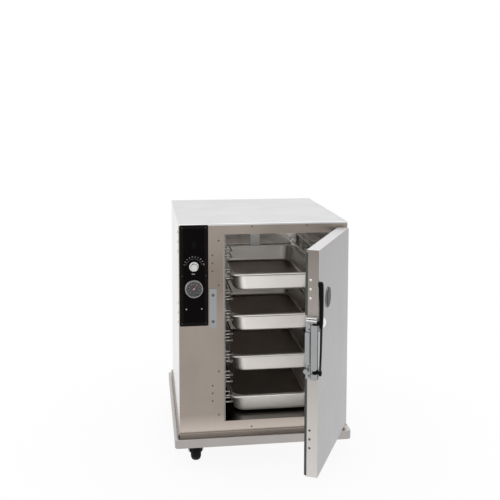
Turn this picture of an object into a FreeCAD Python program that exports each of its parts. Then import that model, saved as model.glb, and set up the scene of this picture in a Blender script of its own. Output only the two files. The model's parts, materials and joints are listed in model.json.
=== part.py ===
import FreeCAD, Part
import os
import re

import Sketcher
from FreeCAD import Placement, Rotation, Vector

# Undercounter heated holding cabinet on casters, with its door standing open.
# Lengths are in millimetres. Pieces are drawn in the cabinet's own corner frame: x from the left side,
# y from the face frame back into the cabinet, z up from the floor. The part's origin is on the floor,
# under the middle of the cabinet, with the front facing -Y.

SIZES = {
    # Casing
    "casing_sheet": 1.2,
    "frame_sheet": 1.5,
    "left_column": 153.0,
    "right_stile": 47.0,
    "top_rail": 36.5,
    "bottom_rail": 35.1,
    "top_lip": 6.0,
    "top_bend": 3.0,
    "overrun": 5.0,
    "running_fit": 0.05,
    "moving_gap": 0.3,
    "head_radius": 3.2,
    "plug_radius": 4.4,
    "strike_head_radius": 5.6,
    "head_height": 1.1,
    # Vent louvres in the left side
    "louvre_setback": 34.0,
    "louvre_length": 58.0,
    "louvre_height": 13.0,
    "louvre_depth": 5.5,
    "louvre_pitch": 33.0,
    "louvre_upper_drop": 102.0,
    "louvre_lower_drop": 346.0,
    # Hot cavity
    "throat_step": 3.0,
    "floor_step": 2.5,
    "back_wall": 36.0,
    "liner_sheet": 1.0,
    "control_bay": 100.0,
    "element_radius": 4.0,
    "element_pitch": 60.0,
    "element_margin": 72.0,
    "guard_width": 38.0,
    "guard_depth": 8.0,
    "guard_margin": 40.0,
    "bulb_radius": 3.0,
    "bulb_length": 120.0,
    "bulb_lift": 366.4,
    # Slide racks
    "post_size": 8.0,
    "post_front": 60.0,
    "post_back_gap": 60.0,
    "wire_radius": 3.0,
    "wire_front": 26.0,
    "wire_back_gap": 18.0,
    "guard_rise": 22.4,
    "level_pitch": 72.25,
    "head_room": 79.55,
    # Food pans
    "pan_left_gap": 25.8,
    "pan_right_gap": 32.2,
    "pan_width": 325.0,
    "pan_front": 48.4,
    "pan_length": 530.0,
    "pan_rear_gap": 11.6,
    "pan_floor_gap": 5.6,
    "pan_depth": 62.0,
    "pan_sheet": 0.9,
    "pan_taper": 6.0,
    "pan_bend": 12.0,
    "pan_corner": 44.0,
    "rim_corner": 26.0,
    "rim_width": 14.0,
    "rim_sheet": 1.2,
    "rim_lip": 4.0,
    "rim_roll": 2.6,
    "rim_round": 1.2,
    "rim_seat": 6.0,
    # Base, bumper and casters
    "skirt_height": 13.5,
    "skirt_inset": 2.0,
    "base_sheet": 2.0,
    "base_lip": 6.0,
    "access_margin": 125.0,
    "bumper_height": 31.0,
    "bumper_side": 17.0,
    "bumper_front": 24.0,
    "bumper_back": 20.0,
    "bumper_seat": 3.0,
    "bumper_corner": 12.0,
    "bumper_edge": 3.0,
    "caster_side": 58.0,
    "caster_end": 81.5,
    "caster_plate": 76.0,
    "caster_sheet": 4.0,
    "race_radius": 24.0,
    "race_height": 4.5,
    "king_radius": 5.0,
    "king_head_radius": 8.0,
    "king_head_height": 3.0,
    "crown_radius": 25.0,
    "crown_height": 8.0,
    "wheel_radius": 37.5,
    "wheel_room": 15.7,
    "wheel_width": 34.0,
    "wheel_gap": 2.0,
    "tread_crown": 11.0,
    "rim_dish": 4.0,
    "hub_radius": 12.0,
    "trail": 23.0,
    "leg_sheet": 3.0,
    "leg_end_radius": 11.0,
    "axle_radius": 4.0,
    "axle_head_radius": 7.0,
    "axle_head_height": 4.0,
    "pedal_pivot_forward": 10.0,
    "pedal_pivot_drop": 23.5,
    "pedal_pin_radius": 2.5,
    "pedal_sheet": 3.0,
    "pedal_bar_near": 54.0,
    "pedal_bar_far": 66.0,
    "pedal_bar_drop": 16.0,
    "pedal_bar_thick": 5.0,
    "pedal_tab": 8.0,
    "pedal_arm_depth": 9.0,
    # Control panel
    "panel_left": 2.7,
    "panel_width": 96.5,
    "panel_drop": 2.8,
    "panel_height": 343.6,
    "panel_sheet": 2.0,
    "panel_corner": 5.0,
    "panel_screw_inset": 8.5,
    "cutout_margin": 17.0,
    "switch_drop": 64.0,
    "switch_width": 16.0,
    "switch_height": 31.0,
    "switch_flange": 2.0,
    "switch_wall": 1.5,
    "switch_depth": 22.0,
    "rocker_width": 9.4,
    "rocker_reach": 9.6,
    "rocker_pivot": 3.0,
    "rocker_pin_radius": 1.5,
    "rocker_back": 6.0,
    "rocker_low": 5.4,
    "rocker_high": 9.4,
    "knob_drop": 139.5,
    "knob_radius": 16.0,
    "knob_grip_radius": 12.5,
    "knob_skirt": 4.0,
    "knob_height": 17.0,
    "knob_stem_radius": 3.0,
    "knob_rib_width": 3.0,
    "knob_rib_height": 1.5,
    "bushing_radius": 5.0,
    "thermostat_side": 44.0,
    "thermostat_depth": 30.0,
    "dial_drop": 215.5,
    "dial_radius": 31.0,
    "dial_face_radius": 26.0,
    "dial_proud": 7.0,
    "dial_lip": 1.5,
    "dial_depth": 25.0,
    "lens_radius": 28.0,
    "lens_thick": 1.4,
    "needle_length": 20.0,
    "needle_width": 2.2,
    "needle_thick": 0.6,
    "needle_hub_radius": 3.0,
    "needle_pin_radius": 1.0,
    "needle_angle": 38.0,
    "lamp_drop": 284.3,
    "lamp_edge_gap": 2.05,
    "lamp_radius": 4.2,
    "lamp_proud": 3.5,
    "lamp_barrel_radius": 3.2,
    "lamp_barrel": 16.0,
    "terminal_width": 60.0,
    "terminal_depth": 18.0,
    "terminal_height": 22.0,
    "terminal_setback": 300.0,
    "terminal_lift": 70.0,
    "inlet_radius": 14.0,
    "inlet_barrel_radius": 10.0,
    "inlet_bore_radius": 5.0,
    "inlet_proud": 7.0,
    "inlet_depth": 12.0,
    "inlet_lift": 60.0,
    # Strike plate and face frame screws
    "strike_offset": 19.1,
    "strike_width": 24.5,
    "strike_lift": 45.0,
    "strike_height": 134.8,
    "strike_sheet": 2.0,
    "strike_corner": 2.0,
    "strike_screw_inset": 22.0,
    "stile_rivet_inset": 19.0,
    "plug_inset": 40.0,
    "rail_rivet_inset": 11.0,
    # Door, drawn closed
    "door_lap_left": 31.5,
    "door_lap_right": 12.1,
    "door_lap_low": 15.1,
    "door_lap_high": 19.0,
    "door_thick": 38.4,
    "door_gap": 4.6,
    "door_sheet": 1.2,
    "door_edge": 2.5,
    "gasket_width": 9.0,
    "gasket_margin": 2.5,
    "door_angle": 63.57,
    "edge_screw_inset": 12.7,
    # Hinges
    "hinge_out": 6.0,
    "hinge_forward": 11.0,
    "hinge_offset": 225.5,
    "hinge_height": 76.0,
    "hinge_screw_pitch": 27.0,
    "leaf_sheet": 2.5,
    "leaf_width": 20.0,
    "leaf_screw_offset": 14.9,
    "knuckle_radius": 5.0,
    "hinge_pin_radius": 3.0,
    "hinge_pin_inset": 2.0,
    # Latch
    "latch_lift": 299.0,
    "latch_height": 179.0,
    "latch_proud": 1.0,
    "latch_flange": 3.0,
    "latch_reach": 20.0,
    "housing_depth": 20.0,
    "housing_lift": 28.0,
    "housing_height": 138.0,
    "housing_round": 12.0,
    "housing_edge": 6.0,
    "latch_pin_radius": 2.5,
    "latch_pin_back": 11.0,
    "magnet_width": 6.0,
    "magnet_depth": 14.0,
    "magnet_lift": 47.0,
    "magnet_height": 93.0,
    "roller_radius": 7.0,
    "roller_lift": 25.0,
    "roller_length": 12.0,
    "ear_width": 50.0,
    "ear_lift": 144.0,
    "ear_height": 42.0,
    "boss_radius": 17.0,
    "boss_height": 12.0,
    "latch_screw_inset": 10.0,
    "handle_width": 12.0,
    "handle_edge": 1.6,
    "handle_lift": 17.0,
    "handle_length": 276.0,
    "handle_reach": 15.0,
    "arm_radius": 6.0,
    "arm_thick": 6.0,
    "arm_gap": 0.6,
}
COUNTS = {"element_runs": 6, "slide_levels": 8, "pans": 4, "louvres_per_group": 3}
HEAD_TOP_SHARE = 0.66
QUARTER_TURN = 90.0
FULL_TURN = 360.0

# Heights along the latch lever, from its foot, with its back and its front there, as shares of its reach.
LEVER_SHARES = (
    (0.0, 0.32, 0.72),
    (0.035, 0.24, 0.80),
    (0.05, 0.34, 0.62),
    (0.12, 0.38, 0.66),
    (0.3, 0.46, 0.76),
    (0.5, 0.48, 0.82),
    (0.54, 0.32, 0.92),
    (0.6, 0.27, 0.97),
    (0.8, 0.24, 1.0),
    (0.93, 0.12, 0.98),
    (0.98, -0.02, 0.92),
    (1.0, 0.04, 0.70),
)
# Quarter bend from a pan's wall into its floor: how far each step is in from the wall and up from the floor.
BEND_SHARES = ((1.0, 0.0), (0.5, 0.134), (0.134, 0.5), (0.0, 1.0))

# Places worked out from the sizes: the base stands on the wheels, the cavity is built round its pans,
# the casing round the cavity, the door laps over the opening, and the latch is placed on the door.
SUMS = {
    "bumper_top": "2*wheel_radius + wheel_room + crown_height + moving_gap + race_height + caster_sheet",
    "bumper_bottom": "bumper_top - bumper_height",
    "pedal_pivot_height": "bumper_top - pedal_pivot_drop",
    "pedal_bar_height": "pedal_pivot_height - pedal_bar_drop",
    "body_bottom": "bumper_top + skirt_height",
    "cavity_floor": "body_bottom + bottom_rail - floor_step",
    "pan_top": f"cavity_floor + pan_floor_gap + pan_depth + {2*COUNTS['pans'] - 2}*level_pitch",
    "body_top": "pan_top + level_pitch + head_room - throat_step + top_rail",
    "pan_left": "left_column - throat_step + pan_left_gap",
    "cavity_right": "pan_left + pan_width + pan_right_gap",
    "body_width": "cavity_right - throat_step + right_stile",
    "cavity_back": "pan_front + pan_length + pan_rear_gap",
    "body_depth": "cavity_back + back_wall",
    "wire_back": "cavity_back - wire_back_gap",
    "post_back": "cavity_back - post_back_gap",
    "bulb_height": "cavity_floor + bulb_lift",
    "louvre_upper": "body_top - louvre_upper_drop",
    "louvre_lower": "body_top - louvre_lower_drop",
    "lamp_spacing": "panel_width - 2*(cutout_margin + lamp_edge_gap + lamp_barrel_radius)",
    "door_left": "left_column - door_lap_left",
    "door_width": "body_width - right_stile + door_lap_right - door_left",
    "door_bottom": "body_bottom + bottom_rail - door_lap_low",
    "door_height": "body_top - top_rail + door_lap_high - door_bottom",
    "leaf_screw_x": "door_left + door_width + hinge_out + leaf_screw_offset",
    "latch_bottom": "door_bottom + latch_lift",
    "housing_low": "latch_bottom + housing_lift",
    "housing_top": "housing_low + housing_height",
    "magnet_low": "latch_bottom + magnet_lift",
    "roller_height": "latch_bottom + roller_lift",
    "ear_low": "latch_bottom + ear_lift",
    "handle_low": "latch_bottom + handle_lift",
    "strike_left": "door_left - strike_offset",
    "strike_bottom": "latch_bottom + strike_lift",
    "stile_rivet_x": "left_column - stile_rivet_inset",
    "plug_x": "left_column - plug_inset",
}

# Sums of sizes that several pieces share.
UNDER_TOP = "(body_top - casing_sheet)"
UNDER_LIP = "(body_top - top_lip)"
LEFT_IN = "(left_column - throat_step)"
RIGHT_IN = "cavity_right"
FLOOR_IN = "cavity_floor"
CEILING_IN = "(body_top - top_rail + throat_step)"
BACK_IN = "cavity_back"
OPENING_RIGHT = "(body_width - right_stile)"
OPENING_LOW = "(body_bottom + bottom_rail)"
OPENING_HIGH = "(body_top - top_rail)"
CAVITY_MIDDLE = f"(({LEFT_IN} + {RIGHT_IN})/2)"
PANEL_RIGHT = "(panel_left + panel_width)"
PANEL_MIDDLE = "(panel_left + panel_width/2)"
PANEL_HIGH = "(body_top - panel_drop)"
PANEL_LOW = f"({PANEL_HIGH} - panel_height)"
DOOR_RIGHT = "(door_left + door_width)"
DOOR_HIGH = "(door_bottom + door_height)"
DOOR_MIDDLE = "(door_bottom + door_height/2)"
DOOR_FRONT = "(-door_gap - door_thick)"
HINGE_X = f"({DOOR_RIGHT} + hinge_out)"
LATCH_FRONT = f"({DOOR_FRONT} - latch_proud)"
LATCH_PIN_X = "(door_left - latch_reach/2)"
LATCH_PIN_Y = f"({LATCH_FRONT} + latch_pin_back)"
LOWER_LUG = "(housing_low - arm_thick - 2*arm_gap)"
UPPER_LUG = "(housing_top + arm_thick + 2*arm_gap)"
LEG_INNER = "(wheel_width/2 + wheel_gap)"
RACE_LOW = "(bumper_top - caster_sheet - race_height)"
CROWN_TOP = f"({RACE_LOW} - moving_gap)"
CROWN_LOW = f"({CROWN_TOP} - crown_height)"

doc = FreeCAD.newDocument("holding_cabinet")
dims = doc.addObject("Spreadsheet::Sheet", "dims")
for row, (alias, number) in enumerate(SIZES.items(), start=1):
    dims.set(f"A{row}", alias)
    dims.set(f"B{row}", str(number))
    dims.setAlias(f"B{row}", alias)
WORD = re.compile(r"[a-z][a-z_]*")


def in_sums(found):
    """A size name as the sheet of sums writes it."""
    name = found.group()
    return name if name in SUMS else f"dims.{name}"


sums = doc.addObject("Spreadsheet::Sheet", "sums")
for row, (alias, total) in enumerate(SUMS.items(), start=1):
    sums.set(f"A{row}", alias)
    sums.set(f"B{row}", "=" + WORD.sub(in_sums, total))
    sums.setAlias(f"B{row}", alias)
probe = doc.addObject("Spreadsheet::Sheet", "probe")
doc.recompute()

ROLES = {"XY": "XY_Plane", "XZ": "XZ_Plane", "YZ": "YZ_Plane"}
ALONG = {
    "x": Rotation(Vector(0, 1, 0), QUARTER_TURN),
    "y": Rotation(Vector(1, 0, 0), -QUARTER_TURN),
    "z": Rotation(),
}
nodes = {}


def on_sheet(text):
    """Write a sum of size names as a sum of the sheets' cells."""
    return WORD.sub(lambda found: f"{'sums' if found.group() in SUMS else 'dims'}.{found.group()}", text)


def mm(text):
    """Length that a sum of size names comes to."""
    probe.set("A1", "=" + on_sheet(text))
    probe.recompute()
    return float(probe.get("A1"))


def bind(thing, field, text):
    thing.setExpression(field, on_sheet(text))


def block(x, y, z):
    """Block between two sums of size names along each axis."""
    made = doc.addObject("Part::Box", "block")
    for side, field, (low, high) in (("x", "Length", x), ("y", "Width", y), ("z", "Height", z)):
        bind(made, field, f"({high}) - ({low})")
        bind(made, f"Placement.Base.{side}", low)
    return made


def rod(axis, radius, low, high, across):
    """Round bar along one axis. The pair across is its middle on the other two, in x, y, z order."""
    made = doc.addObject("Part::Cylinder", "rod")
    made.Placement = Placement(Vector(), ALONG[axis])
    bind(made, "Radius", radius)
    bind(made, "Height", f"({high}) - ({low})")
    places = dict(zip([side for side in "xyz" if side != axis], across))
    places[axis] = low
    for side, text in places.items():
        bind(made, f"Placement.Base.{side}", text)
    return made


def dome(radius, height, x, y, z):
    """Cap of a ball facing -Y, whose rim of the given radius lies at y."""
    ball = doc.addObject("Part::Sphere", "ball")
    ball_radius = f"(({radius})*({radius}) + ({height})*({height}))/(2*({height}))"
    bind(ball, "Radius", ball_radius)
    bind(ball, "Placement.Base.x", x)
    bind(ball, "Placement.Base.y", f"({y}) - ({height}) + {ball_radius}")
    bind(ball, "Placement.Base.z", z)
    keep = rod("y", radius, f"({y}) - ({height}) - overrun", y, (x, z))
    made = doc.addObject("Part::Common", "dome")
    made.Base = ball
    made.Tool = keep
    return made


def screw_head(radius, x, y, z):
    """Low conical head facing -Y, whose rim lies at y."""
    made = doc.addObject("Part::Cone", "head")
    made.Placement = Placement(Vector(), Rotation(Vector(1, 0, 0), QUARTER_TURN))
    bind(made, "Radius1", radius)
    bind(made, "Radius2", f"{HEAD_TOP_SHARE}*{radius}")
    bind(made, "Height", "head_height")
    for side, place in (("x", x), ("y", y), ("z", z)):
        bind(made, f"Placement.Base.{side}", place)
    return made


def group(pieces):
    made = doc.addObject("Part::Compound", "group")
    made.Links = pieces
    return made


def joined(pieces):
    made = doc.addObject("Part::MultiFuse", "joined")
    made.Shapes = pieces
    made.Refine = True
    return made


def cut(base, tools):
    made = doc.addObject("Part::Cut", "cut")
    made.Base = base
    made.Tool = tools[0] if len(tools) == 1 else joined(tools)
    return made


def part_body(name):
    return doc.addObject("PartDesign::Body", name)


def sketch_on(body, plane, level):
    """Sketch on one of the body's own planes, moved to the given place along its normal."""
    flat = next(f for f in body.Origin.OriginFeatures if f.Role == ROLES[plane])
    drawing = body.newObject("Sketcher::SketchObject", "outline")
    drawing.AttachmentSupport = (flat, [""])
    drawing.MapMode = "FlatFace"
    bind(drawing, "AttachmentOffset.Base.z", f"-({level})" if plane == "XZ" else level)
    return drawing


def hold(drawing, piece, end, x, y):
    """Tie a point of the sketch to its place."""
    for kind, text in (("DistanceX", x), ("DistanceY", y)):
        number = drawing.addConstraint(Sketcher.Constraint(kind, -1, 1, piece, end, mm(text)))
        bind(drawing, f"Constraints[{number}]", text)


def polygon(points):
    def draw(drawing):
        first = drawing.GeometryCount
        corners = [Vector(mm(x), mm(y), 0) for x, y in points]
        for start, end in zip(corners, corners[1:] + corners[:1]):
            drawing.addGeometry(Part.LineSegment(start, end))
        count = len(points)
        for index, (x, y) in enumerate(points):
            before = first + (index - 1) % count
            drawing.addConstraint(Sketcher.Constraint("Coincident", before, 2, first + index, 1))
            hold(drawing, first + index, 1, x, y)
    return draw


def rectangle(left, right, low, high):
    return polygon([(left, low), (right, low), (right, high), (left, high)])


def circle(x, y, radius):
    def draw(drawing):
        centre = Vector(mm(x), mm(y), 0)
        ring = drawing.addGeometry(Part.Circle(centre, Vector(0, 0, 1), mm(radius)))
        number = drawing.addConstraint(Sketcher.Constraint("Radius", ring, mm(radius)))
        bind(drawing, f"Constraints[{number}]", radius)
        hold(drawing, ring, 3, x, y)
    return draw


def rounded(left, right, low, high, radius):
    """Rectangle with round corners, drawn anticlockwise from the lower left corner's end."""
    near = (f"({left}) + ({radius})", f"({low}) + ({radius})")
    far = (f"({right}) - ({radius})", f"({high}) - ({radius})")
    runs = [
        ((near[0], low), (far[0], low)),
        ((right, near[1]), (right, far[1])),
        ((far[0], high), (near[0], high)),
        ((left, far[1]), (left, near[1])),
    ]
    centres = [(far[0], near[1]), (far[0], far[1]), (near[0], far[1]), near]

    def draw(drawing):
        first = drawing.GeometryCount
        quarter = FreeCAD.Units.parseQuantity("90 deg").getValueAs("rad").Value
        for index, (run, centre) in enumerate(zip(runs, centres)):
            start, end = (Vector(mm(x), mm(y), 0) for x, y in run)
            drawing.addGeometry(Part.LineSegment(start, end))
            ring = Part.Circle(Vector(mm(centre[0]), mm(centre[1]), 0), Vector(0, 0, 1), mm(radius))
            drawing.addGeometry(Part.ArcOfCircle(ring, (index - 1) * quarter, index * quarter))
        count = 2 * len(runs)
        for index, run in enumerate(runs):
            line = first + 2 * index
            arc = line + 1
            following = first + (2 * index + 2) % count
            for end, (x, y) in zip((1, 2), run):
                hold(drawing, line, end, x, y)
            drawing.addConstraint(Sketcher.Constraint("Coincident", line, 2, arc, 1))
            drawing.addConstraint(Sketcher.Constraint("Coincident", arc, 2, following, 1))
            number = drawing.addConstraint(Sketcher.Constraint("Radius", arc, mm(radius)))
            bind(drawing, f"Constraints[{number}]", radius)
    return draw


def drawn(body, plane, level, loops):
    drawing = sketch_on(body, plane, level)
    for loop in loops:
        loop(drawing)
    return drawing


def pad(body, plane, low, high, *loops):
    """Solid between two places along the plane's axis."""
    made = body.newObject("PartDesign::Pad", "pad")
    made.Profile = drawn(body, plane, low, loops)
    bind(made, "Length", f"({high}) - ({low})")
    made.Reversed = plane == "XZ"
    return made


def pocket(body, plane, low, high, *loops):
    """Hollow between two places along the plane's axis."""
    doc.recompute()
    before = body.Shape.Volume
    made = body.newObject("PartDesign::Pocket", "pocket")
    made.Profile = drawn(body, plane, low, loops)
    bind(made, "Length", f"({high}) - ({low})")
    made.Reversed = plane != "XZ"
    doc.recompute()
    if body.Shape.Volume >= before:
        raise ValueError(f"{body.Label}: a hollow cuts nothing")
    return made


def turned(body, points, axis):
    """Solid of revolution about the sketch's own x or y axis, from an outline in the XY plane."""
    made = body.newObject("PartDesign::Revolution", "turned")
    drawing = drawn(body, "XY", "0", [polygon(points)])
    made.Profile = drawing
    made.ReferenceAxis = (drawing, ["H_Axis" if axis == "x" else "V_Axis"])
    made.Angle = FULL_TURN
    return made


def softened(body, radius, chosen):
    """Round the edges of the body's last feature that the test picks."""
    doc.recompute()
    base = body.Tip
    names = [f"Edge{number}" for number, edge in enumerate(base.Shape.Edges, start=1) if chosen(edge)]
    made = body.newObject("PartDesign::Fillet", "softened")
    made.Base = (base, names)
    bind(made, "Radius", radius)
    return made


def straight_along(edge, axis):
    """Whether the edge is a straight line along the axis."""
    if edge.Curve.TypeId != "Part::GeomLine":
        return False
    return abs(abs(edge.Curve.Direction.dot(axis)) - 1) < Part.Precision.angular()


def ruled(body, kind, sections):
    """Ruled body through outlines, each given as a height and a loop."""
    drawings = [drawn(body, "XY", level, [loop]) for level, loop in sections]
    made = body.newObject(kind, "ruled")
    made.Profile = drawings[0]
    made.Sections = drawings[1:]
    made.Ruled = True
    return made


STAND = Placement(Vector(-mm("body_width") / 2, -mm("body_depth") / 2, 0), Rotation())
HINGE_LINE = Vector(mm(HINGE_X), -mm("hinge_forward"), 0)
SWUNG = Placement(Vector(), Rotation(Vector(0, 0, 1), mm("door_angle")), HINGE_LINE)


def node(name, piece, place=Placement()):
    """Name a finished piece and stand it in the part's frame."""
    if piece.TypeId in ("Part::Box", "Part::Cylinder"):
        piece = group([piece])
    piece.Label = name
    piece.Placement = STAND * place
    nodes[name] = piece


def at(x, y, z, turn=Rotation()):
    return Placement(Vector(mm(x), mm(y), mm(z)), turn)


# Casing, liner and insulation

def make_top_panel():
    """Top sheet, folded down over the face frame's upper edge."""
    body = part_body("top_panel")
    pad(body, "YZ", "0", "body_width", polygon([
        ("0", UNDER_LIP),
        ("casing_sheet", UNDER_LIP),
        ("casing_sheet", UNDER_TOP),
        ("body_depth", UNDER_TOP),
        ("body_depth", "body_top"),
        ("0", "body_top"),
    ]))
    front = mm("moving_gap")
    high = mm("body_top - moving_gap")
    softened(body, "top_bend", lambda edge: edge.BoundBox.YMax < front and edge.BoundBox.ZMin > high)
    node("top_panel", body)


def make_casing():
    behind_frame = ("frame_sheet", "body_depth")
    height = ("body_bottom", UNDER_TOP)
    node("right_panel", block(("body_width - casing_sheet", "body_width"), behind_frame, height))
    back = block(
        ("casing_sheet", "body_width - casing_sheet"), ("body_depth - casing_sheet", "body_depth"), height
    )
    hole = rod(
        "y",
        "inlet_barrel_radius + running_fit",
        "body_depth - casing_sheet - overrun",
        "body_depth + overrun",
        ("control_bay/2", "body_bottom + inlet_lift"),
    )
    node("back_panel", cut(back, [hole]))


def make_left_panel():
    """Left side with two groups of pressed louvres that vent the control bay."""
    body = part_body("left_panel")
    pad(body, "YZ", "0", "casing_sheet", rectangle("frame_sheet", "body_depth", "body_bottom", UNDER_TOP))
    lows = [
        f"({start} + {step}*louvre_pitch)"
        for start in ("louvre_lower", "louvre_upper")
        for step in range(COUNTS["louvres_per_group"])
    ]
    hoods = [
        polygon([
            ("casing_sheet", f"{low} + louvre_height"),
            ("0", f"{low} + louvre_height"),
            ("-louvre_depth", f"{low} + louvre_height/4"),
            ("-louvre_depth", low),
            ("casing_sheet - louvre_depth", low),
            ("casing_sheet - louvre_depth", f"{low} + louvre_height/4"),
            ("casing_sheet", f"{low} + louvre_height - casing_sheet"),
        ])
        for low in lows
    ]
    near = "louvre_setback"
    far = "louvre_setback + louvre_length"
    slots = [rectangle(near, far, low, f"{low} + louvre_height - 2*casing_sheet") for low in lows]
    pocket(body, "YZ", "-overrun", "casing_sheet + overrun", *slots)
    pad(body, "XZ", near, far, *hoods)
    node("left_panel", body)


def make_face_frame():
    body = part_body("face_frame")
    pad(
        body,
        "XZ",
        "0",
        "frame_sheet",
        rectangle("0", "body_width", "body_bottom", UNDER_LIP),
        rectangle("left_column", OPENING_RIGHT, OPENING_LOW, OPENING_HIGH),
        rectangle(
            "panel_left + cutout_margin",
            f"{PANEL_RIGHT} - cutout_margin",
            f"{PANEL_LOW} + cutout_margin",
            f"{PANEL_HIGH} - cutout_margin",
        ),
    )
    node("face_frame", body)


def make_liner():
    """Liner of five sheets welded at their edges, and the wall of the control bay."""
    across = (f"{LEFT_IN} - liner_sheet", f"{RIGHT_IN} + liner_sheet")
    depth = ("frame_sheet", f"{BACK_IN} + liner_sheet")
    height = (FLOOR_IN, CEILING_IN)
    sheets = [
        block(across, depth, (f"{FLOOR_IN} - liner_sheet", FLOOR_IN)),
        block(across, depth, (CEILING_IN, f"{CEILING_IN} + liner_sheet")),
        block((across[0], LEFT_IN), depth, height),
        block((RIGHT_IN, across[1]), depth, height),
        block((LEFT_IN, RIGHT_IN), (BACK_IN, depth[1]), height),
    ]
    node("inner_liner", group(sheets))
    wall = ("control_bay", "control_bay + casing_sheet")
    depth = ("frame_sheet", "body_depth - casing_sheet")
    node("compartment_wall", block(wall, depth, ("body_bottom", UNDER_TOP)))


def make_insulation():
    """Five batts packed between the casing and the liner."""
    across = ("control_bay + casing_sheet", "body_width - casing_sheet")
    depth = ("frame_sheet", "body_depth - casing_sheet")
    floor_top = f"({FLOOR_IN} - liner_sheet - 2*element_radius - 2*moving_gap)"
    ceiling = f"({CEILING_IN} + liner_sheet)"
    height = (floor_top, ceiling)
    left_side = f"({LEFT_IN} - liner_sheet)"
    right_side = f"({RIGHT_IN} + liner_sheet)"
    batts = [
        block(across, depth, ("body_bottom", floor_top)),
        block(across, depth, (ceiling, UNDER_TOP)),
        block((across[0], left_side), depth, height),
        block((right_side, across[1]), depth, height),
        block((left_side, right_side), (f"{BACK_IN} + liner_sheet", depth[1]), height),
    ]
    node("insulation", group(batts))


def make_heating_element():
    """Sheathed element laid to and fro under the liner's floor."""
    level = mm(f"{FLOOR_IN} - liner_sheet - moving_gap - element_radius")
    pitch = mm("element_pitch")
    middle = mm(CAVITY_MIDDLE)
    runs = COUNTS["element_runs"]
    near = mm("frame_sheet + element_margin")
    far = mm(f"{BACK_IN} - element_margin")
    edges = []
    for run in range(runs):
        x = middle + (run - (runs - 1) / 2) * pitch
        start, end = (near, far) if run % 2 == 0 else (far, near)
        edges.append(Part.LineSegment(Vector(x, start, level), Vector(x, end, level)).toShape())
        if run < runs - 1:
            bulge = pitch / 2 if end == far else -pitch / 2
            bend = Part.Arc(
                Vector(x, end, level),
                Vector(x + pitch / 2, end + bulge, level),
                Vector(x + pitch, end, level),
            )
            edges.append(bend.toShape())
    path = doc.addObject("Part::Feature", "element_path")
    path.Shape = Part.Wire(edges)
    section = doc.addObject("Part::Circle", "element_section")
    bind(section, "Radius", "element_radius")
    section.Placement = Placement(edges[0].Vertexes[0].Point, ALONG["y"])
    made = doc.addObject("Part::Sweep", "heating_element")
    made.Sections = [section]
    made.Spine = (path, [f"Edge{number}" for number in range(1, len(edges) + 1)])
    made.Solid = True
    node("heating_element", made)


def make_sensor():
    """Folded guard down the middle of the cavity's back wall, with the thermostat's bulb inside."""
    left = f"({CAVITY_MIDDLE} - guard_width/2)"
    right = f"({CAVITY_MIDDLE} + guard_width/2)"
    height = (f"{FLOOR_IN} + guard_margin", f"{CEILING_IN} - guard_margin/2")
    outside = block((left, right), (f"{BACK_IN} - guard_depth", BACK_IN), height)
    inside = block(
        (f"{left} + liner_sheet", f"{right} - liner_sheet"),
        (f"{BACK_IN} - guard_depth + liner_sheet", f"{BACK_IN} + overrun"),
        (f"{height[0]} - overrun", f"{height[1]} + overrun"),
    )
    node("sensor_guard", cut(outside, [inside]))
    place = (CAVITY_MIDDLE, f"{BACK_IN} - bulb_radius - running_fit")
    node("sensor_bulb", rod("z", "bulb_radius", "bulb_height", "bulb_height + bulb_length", place))


# Slides and pans

def level_height(step):
    """Top of a pan's rim on a slide level, counted down from the top pan."""
    return f"(pan_top - {step}*level_pitch)"


def make_rack(name, wall, inward, wire_x):
    """Welded rack: two posts on the wall, and on each level a bearing wire and a guard wire on short arms."""
    sign, back = ("+", "-") if inward > 0 else ("-", "+")
    post_face = f"({wall} {sign} post_size)"
    wire_side = f"({wire_x} {back} wire_radius)"
    posts = (wall, post_face) if inward > 0 else (post_face, wall)
    arms = (post_face, wire_side) if inward > 0 else (wire_side, post_face)
    half = "wire_radius/2"
    pieces = [
        block(posts, (front, f"{front} + post_size"), (FLOOR_IN, CEILING_IN))
        for front in ("post_front", "post_back")
    ]
    for step in range(-1, COUNTS["slide_levels"] - 1):
        bearing = f"({level_height(step)} - rim_lip - moving_gap - wire_radius)"
        for height in (bearing, f"({bearing} + guard_rise)"):
            pieces.append(rod("y", "wire_radius", "wire_front", "wire_back", (wire_x, height)))
            for front in ("post_front", "post_back"):
                middle = f"({front} + post_size/2)"
                pieces.append(block(
                    arms,
                    (f"{middle} - {half}", f"{middle} + {half}"),
                    (f"{height} - {half}", f"{height} + {half}"),
                ))
    node(name, group(pieces))


def pan_loop(inset, radius):
    return rounded(
        f"pan_left + {inset}",
        f"pan_left + pan_width - {inset}",
        f"pan_front + {inset}",
        f"pan_front + pan_length - {inset}",
        radius,
    )


def pan_wall(rim, sheet):
    """Heights and outlines of a pan's wall, a sheet's thickness in from its outside."""
    wall = f"(rim_width + pan_taper + {sheet})"
    bend = f"(pan_bend - {sheet})"
    floor = f"({rim} - pan_depth + {sheet})"
    radius = f"(pan_corner - {sheet})"
    sections = [
        (f"{floor} + {rise}*{bend}", pan_loop(f"({wall} + {inset}*{bend})", f"({radius} - {inset}*{bend})"))
        for inset, rise in BEND_SHARES
    ]
    return sections + [(rim, pan_loop(f"(rim_width + {sheet})", radius))]


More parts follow.
